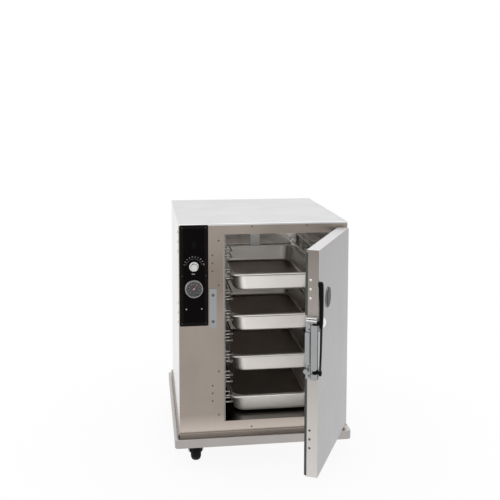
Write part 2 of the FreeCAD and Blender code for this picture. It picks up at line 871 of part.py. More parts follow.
def make_pan(name, rim):
    """Drawn steel food pan: flat rim with a rolled edge, tapered walls, bent into the floor."""
    body = part_body(name)
    ruled(body, "PartDesign::AdditiveLoft", pan_wall(rim, "0"))
    pad(body, "XY", f"{rim} - rim_sheet", rim, pan_loop("0", "rim_corner"))
    edge = (pan_loop("0", "rim_corner"), pan_loop("rim_roll", "(rim_corner - rim_roll)"))
    pad(body, "XY", f"{rim} - rim_lip", rim, *edge)
    doc.recompute()
    ruled(body, "PartDesign::SubtractiveLoft", pan_wall(rim, "pan_sheet"))
    doc.recompute()
    outside = body.Shape.BoundBox
    top = mm(f"{rim} - rim_round/2")

    def rolled(edge):
        """Whether an edge runs round the rim's outside, at its top."""
        box = edge.BoundBox
        reach = mm("rim_corner + rim_round")
        sides = (
            box.XMax - outside.XMin,
            outside.XMax - box.XMin,
            box.YMax - outside.YMin,
            outside.YMax - box.YMin,
        )
        return box.ZMin > top and min(sides) < reach

    softened(body, "rim_round", rolled)
    node(name, body)


# Base, bumper and casters

def make_base():
    rim = "skirt_inset"
    inner = "(skirt_inset + base_sheet)"
    lip_low = "(body_bottom - base_sheet)"
    skirt = block(
        (rim, f"body_width - {rim}"), (rim, f"body_depth - {rim}"), ("bumper_top", lip_low)
    )
    lip = block(
        ("-base_lip", "body_width + base_lip"),
        ("-base_lip", "body_depth + base_lip"),
        (lip_low, "body_bottom"),
    )
    hollow = block(
        (inner, f"body_width - {inner}"),
        (inner, f"body_depth - {inner}"),
        ("bumper_top + base_sheet", lip_low),
    )
    access = block(
        ("access_margin", "body_width - access_margin"),
        ("access_margin", "body_depth - access_margin"),
        ("bumper_top - overrun", "bumper_top + base_sheet + overrun"),
    )
    node("base_pan", cut(joined([skirt, lip]), [hollow, access]))

    body = part_body("bumper")
    pad(
        body,
        "XY",
        "bumper_bottom",
        "bumper_top",
        rounded(
            "-bumper_side",
            "body_width + bumper_side",
            "-bumper_front",
            "body_depth + bumper_back",
            "bumper_corner",
        ),
        rectangle(
            "bumper_seat", "body_width - bumper_seat", "bumper_seat", "body_depth - bumper_seat"
        ),
    )
    width = mm("body_width")
    depth = mm("body_depth")

    def outer_edge(edge):
        middle = edge.valueAt((edge.FirstParameter + edge.LastParameter) / 2)
        inside = 0 < middle.x < width and 0 < middle.y < depth
        return not inside and not straight_along(edge, Vector(0, 0, 1))

    softened(body, "bumper_edge", outer_edge)
    node("bumper", body)


def caster_places():
    """Names of the four casters with the place of each swivel."""
    sides = {"left": "caster_side", "right": "(body_width - caster_side)"}
    ends = {"front": "caster_end", "back": "(body_depth - caster_end)"}
    return [(f"{end}_{side}", x, y) for end, y in ends.items() for side, x in sides.items()]


def make_caster_plates():
    """Fixed top of each caster: plate, ball race and king pin with its riveted head."""
    pieces = []
    for _, x, y in caster_places():
        half = "caster_plate/2"
        pin_low = f"({CROWN_LOW} - moving_gap)"
        pieces.append(joined([
            block(
                (f"{x} - {half}", f"{x} + {half}"),
                (f"{y} - {half}", f"{y} + {half}"),
                ("bumper_top - caster_sheet", "bumper_top"),
            ),
            rod("z", "race_radius", RACE_LOW, "bumper_top - caster_sheet", (x, y)),
            rod("z", "king_radius", pin_low, RACE_LOW, (x, y)),
            rod("z", "king_head_radius", f"{pin_low} - king_head_height", pin_low, (x, y)),
        ]))
    node("caster_plates", group(pieces))


def make_fork(name, x, y):
    """Pressed fork: round crown with two tapered legs that trail towards the front."""
    axle_y = f"({y} - trail)"
    crown = rod("z", "crown_radius", CROWN_LOW, CROWN_TOP, (x, y))
    legs = []
    for side in ("-", "+"):
        inner = f"({x} {side} {LEG_INNER})"
        outer = f"({x} {side} ({LEG_INNER} + leg_sheet))"
        low, high = (outer, inner) if side == "-" else (inner, outer)
        body = part_body("leg")
        pad(body, "YZ", low, high, polygon([
            (f"{y} - crown_radius", CROWN_TOP),
            (f"{y} + crown_radius/2", CROWN_TOP),
            (f"{y} + crown_radius/2", CROWN_LOW),
            (f"{axle_y} + leg_end_radius", "wheel_radius"),
            (f"{axle_y} - leg_end_radius", "wheel_radius"),
            (f"{axle_y} - leg_end_radius", "wheel_radius + leg_end_radius"),
        ]))
        legs.append(body)
        legs.append(rod("x", "leg_end_radius", low, high, (axle_y, "wheel_radius")))
    reach = (f"{x} - wheel_width - overrun", f"{x} + wheel_width + overrun")
    holes = [
        rod("z", "king_radius + running_fit", f"{CROWN_LOW} - overrun", f"{CROWN_TOP} + overrun", (x, y)),
        rod("x", "axle_radius + running_fit", *reach, (axle_y, "wheel_radius")),
        rod(
            "x",
            "pedal_pin_radius + running_fit",
            *reach,
            (f"{y} - pedal_pivot_forward", "pedal_pivot_height"),
        ),
    ]
    node(f"{name}_fork", cut(joined([crown] + legs), holes))


def make_wheel(name, x, y):
    """Solid wheel with a crowned tread and a hub that runs between the legs."""
    body = part_body(f"{name}_wheel")
    half = "(wheel_width/2)"
    hub = f"({LEG_INNER} - moving_gap)"
    bore = "(axle_radius + running_fit)"
    side = [
        (hub, bore),
        (hub, "hub_radius"),
        (f"{half} - rim_dish", "hub_radius"),
        (f"{half} - rim_dish", "wheel_radius - 2*tread_crown"),
        (half, "wheel_radius - tread_crown"),
        (f"{half} - tread_crown/3", "wheel_radius - tread_crown/3"),
        (f"{half} - tread_crown", "wheel_radius"),
    ]
    mirrored = [(f"-({across})", radius) for across, radius in reversed(side)]
    turned(body, side + mirrored, "x")
    axle_y = f"({y} - trail)"
    node(f"{name}_wheel", body, at(x, axle_y, "wheel_radius"))

    leg = f"({LEG_INNER} + leg_sheet)"
    across = (axle_y, "wheel_radius")
    node(f"{name}_axle", joined([
        rod("x", "axle_radius", f"{x} - {leg}", f"{x} + {leg}", across),
        rod("x", "axle_head_radius", f"{x} - {leg} - axle_head_height", f"{x} - {leg}", across),
        rod("x", "axle_head_radius", f"{x} + {leg}", f"{x} + {leg} + axle_head_height", across),
    ]))


def make_pedal(name, x, y):
    """Brake pedal: two arms on pins in the fork's legs and a foot bar ahead of the wheel."""
    leg = f"({LEG_INNER} + leg_sheet)"
    pivot_y = f"({y} - pedal_pivot_forward)"
    near = f"({y} - pedal_bar_near)"
    far = f"({y} - pedal_bar_far)"
    low = "pedal_bar_height"
    high = "(pedal_bar_height + pedal_bar_thick)"
    pieces = []
    for side in ("-", "+"):
        inner = f"({x} {side} ({leg} + moving_gap))"
        outer = f"({x} {side} ({leg} + moving_gap + pedal_sheet))"
        span = (outer, inner) if side == "-" else (inner, outer)
        arm = part_body("pedal_arm")
        pad(arm, "YZ", *span, polygon([
            (f"{pivot_y} + 2*pedal_pin_radius", "pedal_pivot_height + pedal_arm_depth/4"),
            (f"{pivot_y} + pedal_pin_radius", "pedal_pivot_height + pedal_arm_depth/2"),
            (f"({near} + {far})/2", f"{high} - pedal_bar_thick/4"),
            (f"({near} + {far})/2", f"{low} + pedal_bar_thick/4"),
            (f"{pivot_y} + pedal_pin_radius", "pedal_pivot_height - pedal_arm_depth/2"),
            (f"{pivot_y} + 2*pedal_pin_radius", "pedal_pivot_height - pedal_arm_depth/4"),
        ]))
        pin_tip = f"({x} {side} ({LEG_INNER} + moving_gap))"
        pin = (inner, pin_tip) if side == "-" else (pin_tip, inner)
        pieces.append(arm)
        pieces.append(rod("x", "pedal_pin_radius", *pin, (pivot_y, "pedal_pivot_height")))
    width = f"({leg} + moving_gap + pedal_sheet)"
    ends = (f"{x} - {width} - pedal_tab", f"{x} + {width} + pedal_sheet/2")
    pieces.append(block(ends, (far, near), (low, high)))
    node(f"{name}_pedal", joined(pieces))


# Control panel

def make_control_panel():
    body = part_body("control_panel")
    pad(
        body,
        "XZ",
        "-panel_sheet",
        "0",
        rounded("panel_left", PANEL_RIGHT, PANEL_LOW, PANEL_HIGH, "panel_corner"),
        rectangle(
            f"{PANEL_MIDDLE} - switch_width/2 + switch_wall - running_fit",
            f"{PANEL_MIDDLE} + switch_width/2 - switch_wall + running_fit",
            f"{PANEL_HIGH} - switch_drop - switch_height/2 + switch_wall - running_fit",
            f"{PANEL_HIGH} - switch_drop + switch_height/2 - switch_wall + running_fit",
        ),
        circle(PANEL_MIDDLE, f"{PANEL_HIGH} - knob_drop", "bushing_radius + running_fit"),
        circle(PANEL_MIDDLE, f"{PANEL_HIGH} - dial_drop", "dial_face_radius - dial_lip + running_fit"),
        circle(
            f"{PANEL_MIDDLE} - lamp_spacing/2",
            f"{PANEL_HIGH} - lamp_drop",
            "lamp_barrel_radius + running_fit",
        ),
        circle(
            f"{PANEL_MIDDLE} + lamp_spacing/2",
            f"{PANEL_HIGH} - lamp_drop",
            "lamp_barrel_radius + running_fit",
        ),
    )
    node("control_panel", body)
    heads = [
        screw_head("head_radius", x, "-panel_sheet", z)
        for x in ("panel_left + panel_screw_inset", f"{PANEL_RIGHT} - panel_screw_inset")
        for z in (
            f"{PANEL_LOW} + panel_screw_inset",
            f"({PANEL_LOW} + {PANEL_HIGH})/2",
            f"{PANEL_HIGH} - panel_screw_inset",
        )
    ]
    node("panel_screws", group(heads))


def make_switch():
    """Snap-in switch housing with its rocker on two short pins."""
    x = PANEL_MIDDLE
    z = f"({PANEL_HIGH} - switch_drop)"
    front = "(-panel_sheet - switch_flange)"
    half = "(switch_width/2)"
    tall = "(switch_height/2)"
    flange = block(
        (f"{x} - {half}", f"{x} + {half}"), (front, "-panel_sheet"), (f"{z} - {tall}", f"{z} + {tall}")
    )
    box = block(
        (f"{x} - {half} + switch_wall", f"{x} + {half} - switch_wall"),
        ("-panel_sheet", "switch_depth"),
        (f"{z} - {tall} + switch_wall", f"{z} + {tall} - switch_wall"),
    )
    well_half = "(rocker_width/2 + moving_gap)"
    well_tall = f"({tall} - 2*switch_wall)"
    well = block(
        (f"{x} - {well_half}", f"{x} + {well_half}"),
        (f"{front} - overrun", "switch_depth/2"),
        (f"{z} - {well_tall}", f"{z} + {well_tall}"),
    )
    pin_hole = rod(
        "x",
        "rocker_pin_radius + running_fit",
        f"{x} - {half} + switch_wall/2 + switch_wall",
        f"{x} + {half} - switch_wall/2 - switch_wall",
        ("rocker_pivot", z),
    )
    node("switch_housing", cut(joined([flange, box]), [well, pin_hole]))

    rocker = part_body("rocker_block")
    pad(rocker, "YZ", f"{x} - rocker_width/2", f"{x} + rocker_width/2", polygon([
        ("rocker_pivot - rocker_low", f"{z} + rocker_reach"),
        ("rocker_pivot - rocker_low", z),
        ("rocker_pivot - rocker_high", f"{z} - rocker_reach"),
        ("rocker_pivot", f"{z} - rocker_reach"),
        ("rocker_pivot + rocker_back", f"{z} - rocker_reach/3"),
        ("rocker_pivot + rocker_back", f"{z} + rocker_reach/3"),
        ("rocker_pivot", f"{z} + rocker_reach"),
    ]))
    pin = rod(
        "x",
        "rocker_pin_radius",
        f"{x} - rocker_width/2 - switch_wall/2",
        f"{x} + rocker_width/2 + switch_wall/2",
        ("rocker_pivot", z),
    )
    node("rocker", joined([rocker, pin]))


def make_thermostat():
    """Thermostat behind the panel, and its knob on a stem in the bushing."""
    x = PANEL_MIDDLE
    z = f"({PANEL_HIGH} - knob_drop)"
    half = "(thermostat_side/2)"
    case = block(
        (f"{x} - {half}", f"{x} + {half}"), ("0", "thermostat_depth"), (f"{z} - {half}", f"{z} + {half}")
    )
    bushing = rod("y", "bushing_radius", "-panel_sheet", "0", (x, z))
    bore = rod(
        "y", "knob_stem_radius + running_fit", "-panel_sheet - overrun", "thermostat_depth/2", (x, z)
    )
    node("thermostat", cut(joined([case, bushing]), [bore]))

    base = "(-panel_sheet - moving_gap)"
    top = f"({base} - knob_height)"
    body = part_body("knob_turned")
    turned(body, [
        ("0", "thermostat_depth/2 - moving_gap"),
        ("knob_stem_radius", "thermostat_depth/2 - moving_gap"),
        ("knob_stem_radius", base),
        ("knob_radius", base),
        ("knob_radius", f"{base} - knob_skirt"),
        ("knob_grip_radius", f"{base} - 1.5*knob_skirt"),
        ("knob_grip_radius - knob_rib_height", top),
        ("0", top),
    ], "y")
    rib = block(
        ("-knob_rib_width/2", "knob_rib_width/2"),
        (f"{top} - knob_rib_height", top),
        ("0", "knob_grip_radius - knob_rib_height"),
    )
    node("knob", joined([body, rib]), at(x, "0", z))


def make_thermometer():
    """Dial thermometer: bright cup with a rolled lip, glass lens and a needle on a pin."""
    face = "(-panel_sheet - dial_proud/4)"
    seat = "(-panel_sheet - dial_proud + dial_lip + lens_thick)"
    front = "(-panel_sheet - dial_proud)"
    pin_hole = "(needle_pin_radius + running_fit)"
    slack = "(lens_radius + running_fit)"
    body = part_body("thermometer_case")
    turned(body, [
        ("0", "0"),
        (pin_hole, "0"),
        (pin_hole, face),
        ("dial_face_radius", face),
        ("dial_face_radius", seat),
        (slack, seat),
        (slack, f"{seat} - lens_thick"),
        ("dial_face_radius", f"{seat} - lens_thick"),
        ("dial_face_radius + dial_lip/2", front),
        ("dial_radius - dial_lip", front),
        ("dial_radius", f"{front} + 1.5*dial_lip"),
        ("dial_radius", "-panel_sheet"),
        ("dial_face_radius - dial_lip", "-panel_sheet"),
        ("dial_face_radius - dial_lip", "dial_depth"),
        ("0", "dial_depth"),
    ], "y")
    place = (PANEL_MIDDLE, "0", f"{PANEL_HIGH} - dial_drop")
    node("thermometer_case", body, at(*place))
    lens = rod("y", "lens_radius", f"{seat} - lens_thick", seat, ("0", "0"))
    node("thermometer_lens", group([lens]), at(*place))

    back = f"({face} - moving_gap)"
    needle = joined([
        rod("y", "needle_hub_radius", f"{back} - 2*needle_thick", back, ("0", "0")),
        rod("y", "needle_pin_radius", back, "-moving_gap", ("0", "0")),
        block(
            ("-needle_width/2", "needle_width/2"),
            (f"{back} - 1.5*needle_thick", f"{back} - needle_thick/2"),
            ("-needle_length/3", "needle_length"),
        ),
    ])
    tilt = Rotation(Vector(0, 1, 0), mm("needle_angle"))
    node("thermometer_needle", needle, at(*place, tilt))


def make_lamps():
    lamps = []
    z = f"({PANEL_HIGH} - lamp_drop)"
    for side in ("-", "+"):
        x = f"({PANEL_MIDDLE} {side} lamp_spacing/2)"
        lamps.append(joined([
            dome("lamp_radius", "lamp_proud", x, "-panel_sheet", z),
            rod("y", "lamp_barrel_radius", "-panel_sheet", "lamp_barrel", (x, z)),
        ]))
    node("pilot_lights", group(lamps))


def make_wiring_ends():
    """Terminal block on the bay's wall and the cord inlet in the back."""
    low = "(body_bottom + terminal_lift)"
    block_body = block(
        ("control_bay - terminal_depth", "control_bay"),
        ("terminal_setback", "terminal_setback + terminal_width"),
        (low, f"{low} + terminal_height"),
    )
    node("terminal_block", block_body)
    place = ("control_bay/2", "body_bottom + inlet_lift")
    flange = rod("y", "inlet_radius", "body_depth", "body_depth + inlet_proud", place)
    barrel = rod("y", "inlet_barrel_radius", "body_depth - inlet_depth", "body_depth", place)
    bore = rod(
        "y",
        "inlet_bore_radius",
        "body_depth - inlet_depth - overrun",
        "body_depth + inlet_proud + overrun",
        place,
    )
    node("power_inlet", cut(joined([flange, barrel]), [bore]))


# Strike plate and screws of the face frame

def hinge_screw_heights():
    """Heights of the three screws of each hinge."""
    return [
        f"({DOOR_MIDDLE} {side} hinge_offset + {step}*hinge_screw_pitch)"
        for side in ("-", "+")
        for step in (-1, 0, 1)
    ]


def make_strike():
    body = part_body("strike_plate")
    pad(
        body,
        "XZ",
        "-strike_sheet",
        "0",
        rounded(
            "strike_left",
            "strike_left + strike_width",
            "strike_bottom",
            "strike_bottom + strike_height",
            "strike_corner",
        ),
    )
    node("strike_plate", body)


def make_frame_screws():
    """Rivets and plugs of the face frame, and the screws of the strike plate and the hinges' leaves."""
    small = "head_radius"
    spots = [("plug_x", z, "0", small) for z in hinge_screw_heights()]
    spots += [("leaf_screw_x", z, "-leaf_sheet", small) for z in hinge_screw_heights()]
    spots += [
        ("stile_rivet_x", f"{DOOR_MIDDLE} {side} hinge_offset {away} hinge_height", "0", small)
        for side, away in (("+", "+"), ("+", "-"), ("-", "+"), ("-", "-"))
    ]
    spots += [
        (f"left_column + (body_width - right_stile - left_column)*{count}/4", z, "0", small)
        for count in (1, 3)
        for z in ("body_top - rail_rivet_inset", "body_bottom + rail_rivet_inset")
    ]
    middle = "strike_left + strike_width/2"
    spots += [
        (middle, "strike_bottom + strike_screw_inset", "-strike_sheet", "strike_head_radius"),
        (
            middle,
            "strike_bottom + strike_height - strike_screw_inset",
            "-strike_sheet",
            "strike_head_radius",
        ),
    ]
    heads = [screw_head(radius, x, y, z) for x, z, y, radius in spots]
    node("frame_screws", group(heads))


# Door, drawn closed and swung open about its hinges

def make_door():
    body = part_body("door_outer")
    front = DOOR_FRONT
    pad(body, "XZ", front, "-door_gap", rectangle("door_left", DOOR_RIGHT, "door_bottom", DOOR_HIGH))
    far = mm(f"{front} + door_edge")
    softened(body, "door_edge", lambda edge: edge.BoundBox.YMax < far)
    pocket(body, "XZ", f"{front} + door_sheet", "overrun", rectangle(
        "door_left + door_sheet", f"{DOOR_RIGHT} - door_sheet",
        "door_bottom + door_sheet", f"{DOOR_HIGH} - door_sheet",
    ))
    node("door_outer", body, SWUNG)
    width = ("door_left + door_sheet", f"{DOOR_RIGHT} - door_sheet")
    height = ("door_bottom + door_sheet", f"{DOOR_HIGH} - door_sheet")
    back = "(-door_gap - door_sheet)"
    node("door_inner", block(width, (back, "-door_gap"), height), SWUNG)
    inside = "(2*door_sheet)"
    batt = block(
        (f"door_left + {inside}", f"{DOOR_RIGHT} - {inside}"),
        (f"{front} + door_sheet", back),
        (f"door_bottom + {inside}", f"{DOOR_HIGH} - {inside}"),
    )
    node("door_insulation", batt, SWUNG)


def make_gasket():
    """Seal round the opening, clear of the face frame by the moving gap when the door is shut."""
    body = part_body("door_gasket")
    outer = "(gasket_margin + gasket_width)"
    pad(
        body,
        "XZ",
        "-door_gap",
        "-moving_gap",
        rounded(
            f"left_column - {outer}",
            f"{OPENING_RIGHT} + {outer}",
            f"{OPENING_LOW} - {outer}",
            f"{OPENING_HIGH} + {outer}",
            "gasket_width",
        ),
        rectangle(
            "left_column - gasket_margin",
            f"{OPENING_RIGHT} + gasket_margin",
            f"{OPENING_LOW} - gasket_margin",
            f"{OPENING_HIGH} + gasket_margin",
        ),
    )
    node("door_gasket", body, SWUNG)


def edge_head(x, y, z, radius):
    """Screw head on the door's free edge, facing -X."""
    turn = Placement(Vector(mm(x), mm(y), mm(z)), Rotation(Vector(0, 0, 1), -QUARTER_TURN))
    head = group([screw_head(radius, "0", "0", "0")])
    head.Placement = turn
    return head


def make_door_screws():
    """Plugs of the spare hinge holes in the free edge, and the latch's four screws."""
    y = "(-door_gap - edge_screw_inset)"
    heads = [edge_head("door_left", y, z, "plug_radius") for z in hinge_screw_heights()]
    low = "latch_bottom + latch_screw_inset"
    high = "latch_bottom + latch_height - latch_screw_inset"
    latch_y = "(-door_gap - latch_screw_inset)"
    for z in (low, f"{low} + 3*latch_screw_inset", high, f"{high} - 2*latch_screw_inset"):
        heads.append(edge_head("door_left - latch_flange", latch_y, z, "head_radius"))
    node("door_screws", group(heads), SWUNG)


def make_hinges():
    """Two lift-off hinges: the frame's leaf has the lower knuckle and the door's leaf the upper."""
    axis = (HINGE_X, "-hinge_forward")
    frame_leaves = []
    door_leaves = []
    pins = []
    for side in ("-", "+"):
        middle = f"({DOOR_MIDDLE} {side} hinge_offset)"
        low = f"({middle} - hinge_height/2)"
        high = f"({middle} + hinge_height/2)"
        bore = rod("z", "hinge_pin_radius + running_fit", f"{low} - overrun", f"{high} + overrun", axis)
        clear = f"({HINGE_X} + knuckle_radius + moving_gap)"
        frame_leaves.append(cut(joined([
            block((clear, f"{clear} + leaf_width"), ("-leaf_sheet", "0"), (low, high)),
            block(
                (HINGE_X, f"{clear} + leaf_sheet"),
                ("-hinge_forward + knuckle_radius - leaf_sheet", "0"),
                (low, f"{middle} - moving_gap"),
            ),
            rod("z", "knuckle_radius", low, f"{middle} - moving_gap", axis),
        ]), [bore]))
        bore_above = rod(
            "z", "hinge_pin_radius + running_fit", f"{low} - overrun", f"{high} + overrun", axis
        )
        door_leaves.append(cut(joined([
            block(
                (DOOR_RIGHT, f"{DOOR_RIGHT} + leaf_sheet"),
                ("-hinge_forward - leaf_width", "-hinge_forward"),
                (f"{middle} + moving_gap", high),
            ),
            block(
                (DOOR_RIGHT, f"{DOOR_RIGHT} + leaf_sheet"),
                ("-hinge_forward - leaf_width", "-hinge_forward - knuckle_radius - moving_gap"),
                (low, f"{middle} + moving_gap"),
            ),
            rod("z", "knuckle_radius", f"{middle} + moving_gap", high, axis),
        ]), [bore_above]))
        ends = (f"{low} + hinge_pin_inset", f"{high} - hinge_pin_inset")
        pins.append(rod("z", "hinge_pin_radius", *ends, axis))
    node("hinge_frame_leaves", group(frame_leaves))
    node("hinge_door_leaves", group(door_leaves), SWUNG)
    node("hinge_pins", group(pins))


def make_latch():
    """Magnetic edge latch: flange on the door's edge, rounded housing, front ear with a domed boss."""
    reach = "(door_left - latch_reach)"
    flange_x = ("door_left - latch_flange", "door_left")
    flange = block(
        flange_x, (LATCH_FRONT, "-door_gap"), ("latch_bottom", "latch_bottom + latch_height")
    )
    housing = part_body("latch_housing")
    back = f"({LATCH_FRONT} + housing_depth)"
    outline = rectangle(LATCH_FRONT, back, "housing_low", "housing_top")
    pad(housing, "YZ", reach, "door_left - latch_flange", outline)
    front = mm(f"{LATCH_FRONT} + moving_gap")
    low = mm("housing_low + moving_gap")

    def lower_front(edge):
        return edge.BoundBox.YMax < front and edge.BoundBox.ZMax < low

    softened(housing, "housing_round", lower_front)
    side = mm(f"{reach} + moving_gap")
    softened(housing, "housing_edge", lambda edge: edge.BoundBox.XMax < side and edge.BoundBox.YMax < front)
    ear_high = "(ear_low + ear_height)"
    ear = block(
        ("door_left - latch_flange", "door_left + ear_width"),
        (f"{DOOR_FRONT} - latch_flange", DOOR_FRONT),
        ("ear_low", ear_high),
    )
    boss = dome(
        "boss_radius",
        "boss_height",
        "door_left + ear_width/2",
        f"{DOOR_FRONT} - latch_flange",
        "ear_low + ear_height/2",
    )
    lugs = [
        block((reach, "door_left - latch_flange"), (f"{LATCH_FRONT} + latch_flange", end), span)
        for end, span in (
            (back, ("latch_bottom + latch_flange", LOWER_LUG)),
            ("-2*door_gap", (UPPER_LUG, "latch_bottom + latch_height")),
        )
    ]
    roller = rod(
        "x",
        "roller_radius",
        "door_left - latch_flange - roller_length",
        "door_left - latch_flange",
        ("-2*moving_gap - roller_radius", "roller_height"),
    )
    bore = rod(
        "z",
        "latch_pin_radius + running_fit",
        f"{LOWER_LUG} - overrun",
        f"{UPPER_LUG} + overrun",
        (LATCH_PIN_X, LATCH_PIN_Y),
    )
    node("latch_base", cut(joined([flange, housing, ear, boss, roller] + lugs), [bore]), SWUNG)
    face = "(-strike_sheet - head_height - moving_gap)"
    magnet = block(
        ("door_left - latch_flange - magnet_width", "door_left - latch_flange"),
        (f"{face} - magnet_depth", face),
        ("magnet_low", "magnet_low + magnet_height"),
    )
    node("latch_magnet", magnet, SWUNG)
    ends = (f"{LOWER_LUG} - overrun + arm_gap", f"{UPPER_LUG} + overrun - arm_gap")
    node("latch_pin", rod("z", "latch_pin_radius", *ends, (LATCH_PIN_X, LATCH_PIN_Y)), SWUNG)


def outside_lever(edge, face):
    """Whether an edge runs along the lever's front, on either side."""
    return edge.BoundBox.YMax < face and not straight_along(edge, Vector(1, 0, 0))


def make_handle():
    """Long lever with an arm above and below the housing, both turning on the latch's pin."""
    lever = part_body("lever")
    backs = []
    fronts = []
    for height, back, front in LEVER_SHARES:
        z = f"(handle_low + {height}*handle_length)"
        backs.append((f"{DOOR_FRONT} - {back}*handle_reach", z))
        fronts.append((f"{DOOR_FRONT} - {front}*handle_reach", z))
    left = f"({LATCH_PIN_X} - handle_width/2)"
    right = f"({LATCH_PIN_X} + handle_width/2)"
    pad(lever, "YZ", left, right, polygon(fronts + backs[::-1]))
    face = mm(f"{DOOR_FRONT} - handle_reach/2")
    softened(lever, "handle_edge", lambda edge: outside_lever(edge, face))
    arms = []
    spans = (
        ("(housing_low - arm_gap - arm_thick)", "(housing_low - arm_gap)"),
        ("(housing_top + arm_gap)", "(housing_top + arm_gap + arm_thick)"),
    )
    for span in spans:
        arms.append(rod("z", "arm_radius", *span, (LATCH_PIN_X, LATCH_PIN_Y)))
        arms.append(block(
            (f"{LATCH_PIN_X} - arm_radius", f"{LATCH_PIN_X} + arm_radius"),
            (f"{DOOR_FRONT} - handle_reach/2", LATCH_PIN_Y),
            span,
        ))
    bore = rod(
        "z",
        "latch_pin_radius + running_fit",
        "housing_low - arm_thick - overrun",
        "housing_top + arm_thick + overrun",
        (LATCH_PIN_X, LATCH_PIN_Y),
    )
    node("latch_handle", cut(joined([lever] + arms), [bore]), SWUNG)


make_top_panel()
make_casing()
make_left_panel()
make_face_frame()
make_liner()
make_insulation()
make_heating_element()
make_sensor()
make_rack("slide_rack_left", LEFT_IN, 1, "(pan_left + rim_seat)")
make_rack("slide_rack_right", RIGHT_IN, -1, "(pan_left + pan_width - rim_seat)")
for order in range(COUNTS["pans"]):
    make_pan(f"pan_{order + 1}", level_height(2 * order))
make_base()
make_caster_plates()
for caster, caster_x, caster_y in caster_places():
    make_fork(f"caster_{caster}", caster_x, caster_y)
    make_wheel(f"caster_{caster}", caster_x, caster_y)
    if caster.startswith("front"):
        make_pedal(f"caster_{caster}", caster_x, caster_y)
make_control_panel()
make_switch()
make_thermostat()
make_thermometer()
make_lamps()
make_wiring_ends()
make_strike()
make_frame_screws()
make_door()
make_gasket()
make_door_screws()
make_hinges()
make_latch()
make_handle()

doc.recompute()
for thing in doc.Objects:
    if "Invalid" in thing.State or "Error" in thing.State:
        raise ValueError(f"{thing.Label} failed")
for name, piece in nodes.items():
    if piece.Shape.isNull() or not piece.Shape.isValid():
        raise ValueError(f"{name} has no sound shape")

os.makedirs("parts", exist_ok=True)
for name, piece in nodes.items():
    piece.Shape.exportStep(f"parts/{name}.step")
print(len(nodes), "nodes written")
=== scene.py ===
"""Looks of the heated holding cabinet.

Materials, fine pieces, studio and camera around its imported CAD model.
"""

import json
import math

import bmesh
import bpy
from mathutils import Matrix, Vector


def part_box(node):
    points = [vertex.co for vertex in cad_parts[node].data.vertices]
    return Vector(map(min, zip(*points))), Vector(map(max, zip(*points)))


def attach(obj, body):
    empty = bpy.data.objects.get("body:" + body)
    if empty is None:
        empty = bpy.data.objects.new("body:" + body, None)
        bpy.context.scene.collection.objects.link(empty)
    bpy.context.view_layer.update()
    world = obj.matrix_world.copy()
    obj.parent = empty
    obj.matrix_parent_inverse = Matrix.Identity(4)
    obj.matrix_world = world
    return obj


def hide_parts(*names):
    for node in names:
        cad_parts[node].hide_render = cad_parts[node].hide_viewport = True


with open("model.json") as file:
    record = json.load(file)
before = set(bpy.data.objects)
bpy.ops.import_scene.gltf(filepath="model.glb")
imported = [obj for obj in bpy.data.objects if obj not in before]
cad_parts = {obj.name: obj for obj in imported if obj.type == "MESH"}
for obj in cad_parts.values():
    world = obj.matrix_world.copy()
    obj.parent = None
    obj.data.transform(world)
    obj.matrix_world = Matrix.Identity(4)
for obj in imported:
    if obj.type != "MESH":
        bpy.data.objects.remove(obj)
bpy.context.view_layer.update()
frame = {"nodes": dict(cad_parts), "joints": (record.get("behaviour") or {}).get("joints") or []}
nodes = frame["nodes"]
scene = bpy.context.scene
scene.view_settings.view_transform = "Standard"

MM = 0.001
JOINTS = {joint["name"]: joint for joint in frame["joints"]}
FRONT = Vector((0, -1, 0))
UP = Vector((0, 0, 1))
# The door stands this far open at rest, so its face and its free edge look these ways.
DOOR_OPEN = -math.radians(JOINTS["door_hinge"]["range_deg"][0])
DOOR_OUT = Vector((math.sin(DOOR_OPEN), -math.cos(DOOR_OPEN), 0))
EDGE_OUT = Vector((-math.cos(DOOR_OPEN), -math.sin(DOOR_OPEN), 0))
# Places on the CAD model that finishes and fine pieces are set out from.
CAVITY_LOW, CAVITY_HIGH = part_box("inner_liner")
PANEL_LOW, PANEL_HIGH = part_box("control_panel")
PANEL_FACE = PANEL_LOW.y
DOOR_FOOT, DOOR_HEAD = (corner.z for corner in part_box("door_outer"))
FRAME_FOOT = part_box("face_frame")[0].z


# Patterns of the materials

EVEN = (1, 1, 1)
# Most of a noise's values lie between these.
NOISE_LOW = 0.3
NOISE_HIGH = 0.7
# Sockets of a node that mixes colours.
MIX_SHARE = 0
MIX_FIRST = 6
MIX_SECOND = 7
MIX_RESULT = 2
# Least cosine between a surface and the way it is said to look.
SQUARELY = 0.9
ROUGHLY = 0.5


def finish_of(name, colour, roughness, metallic=0.0, **sockets):
    """A plain finish. Returns its material, its node tree and its shader."""
    material = bpy.data.materials.new(name)
    material.use_nodes = True
    shader = material.node_tree.nodes["Principled BSDF"]
    shader.inputs["Base Color"].default_value = (*colour, 1)
    shader.inputs["Roughness"].default_value = roughness
    shader.inputs["Metallic"].default_value = metallic
    for socket, value in sockets.items():
        shader.inputs[socket.replace("_", " ")].default_value = value
    return material, material.node_tree, shader


def own_place(tree):
    """A piece's own place, as it was made."""
    return tree.nodes.new("ShaderNodeTexCoord").outputs["Object"]


def noise(tree, scale, size=1.0, detail=3.0):
    """Noise on the piece's own place, stretched by a scale for each axis."""
    mapping = tree.nodes.new("ShaderNodeMapping")
    mapping.inputs["Scale"].default_value = scale
    pattern = tree.nodes.new("ShaderNodeTexNoise")
    pattern.inputs["Scale"].default_value = size
    pattern.inputs["Detail"].default_value = detail
    tree.links.new(own_place(tree), mapping.inputs["Vector"])
    tree.links.new(mapping.outputs["Vector"], pattern.inputs["Vector"])
    return pattern.outputs["Fac"]


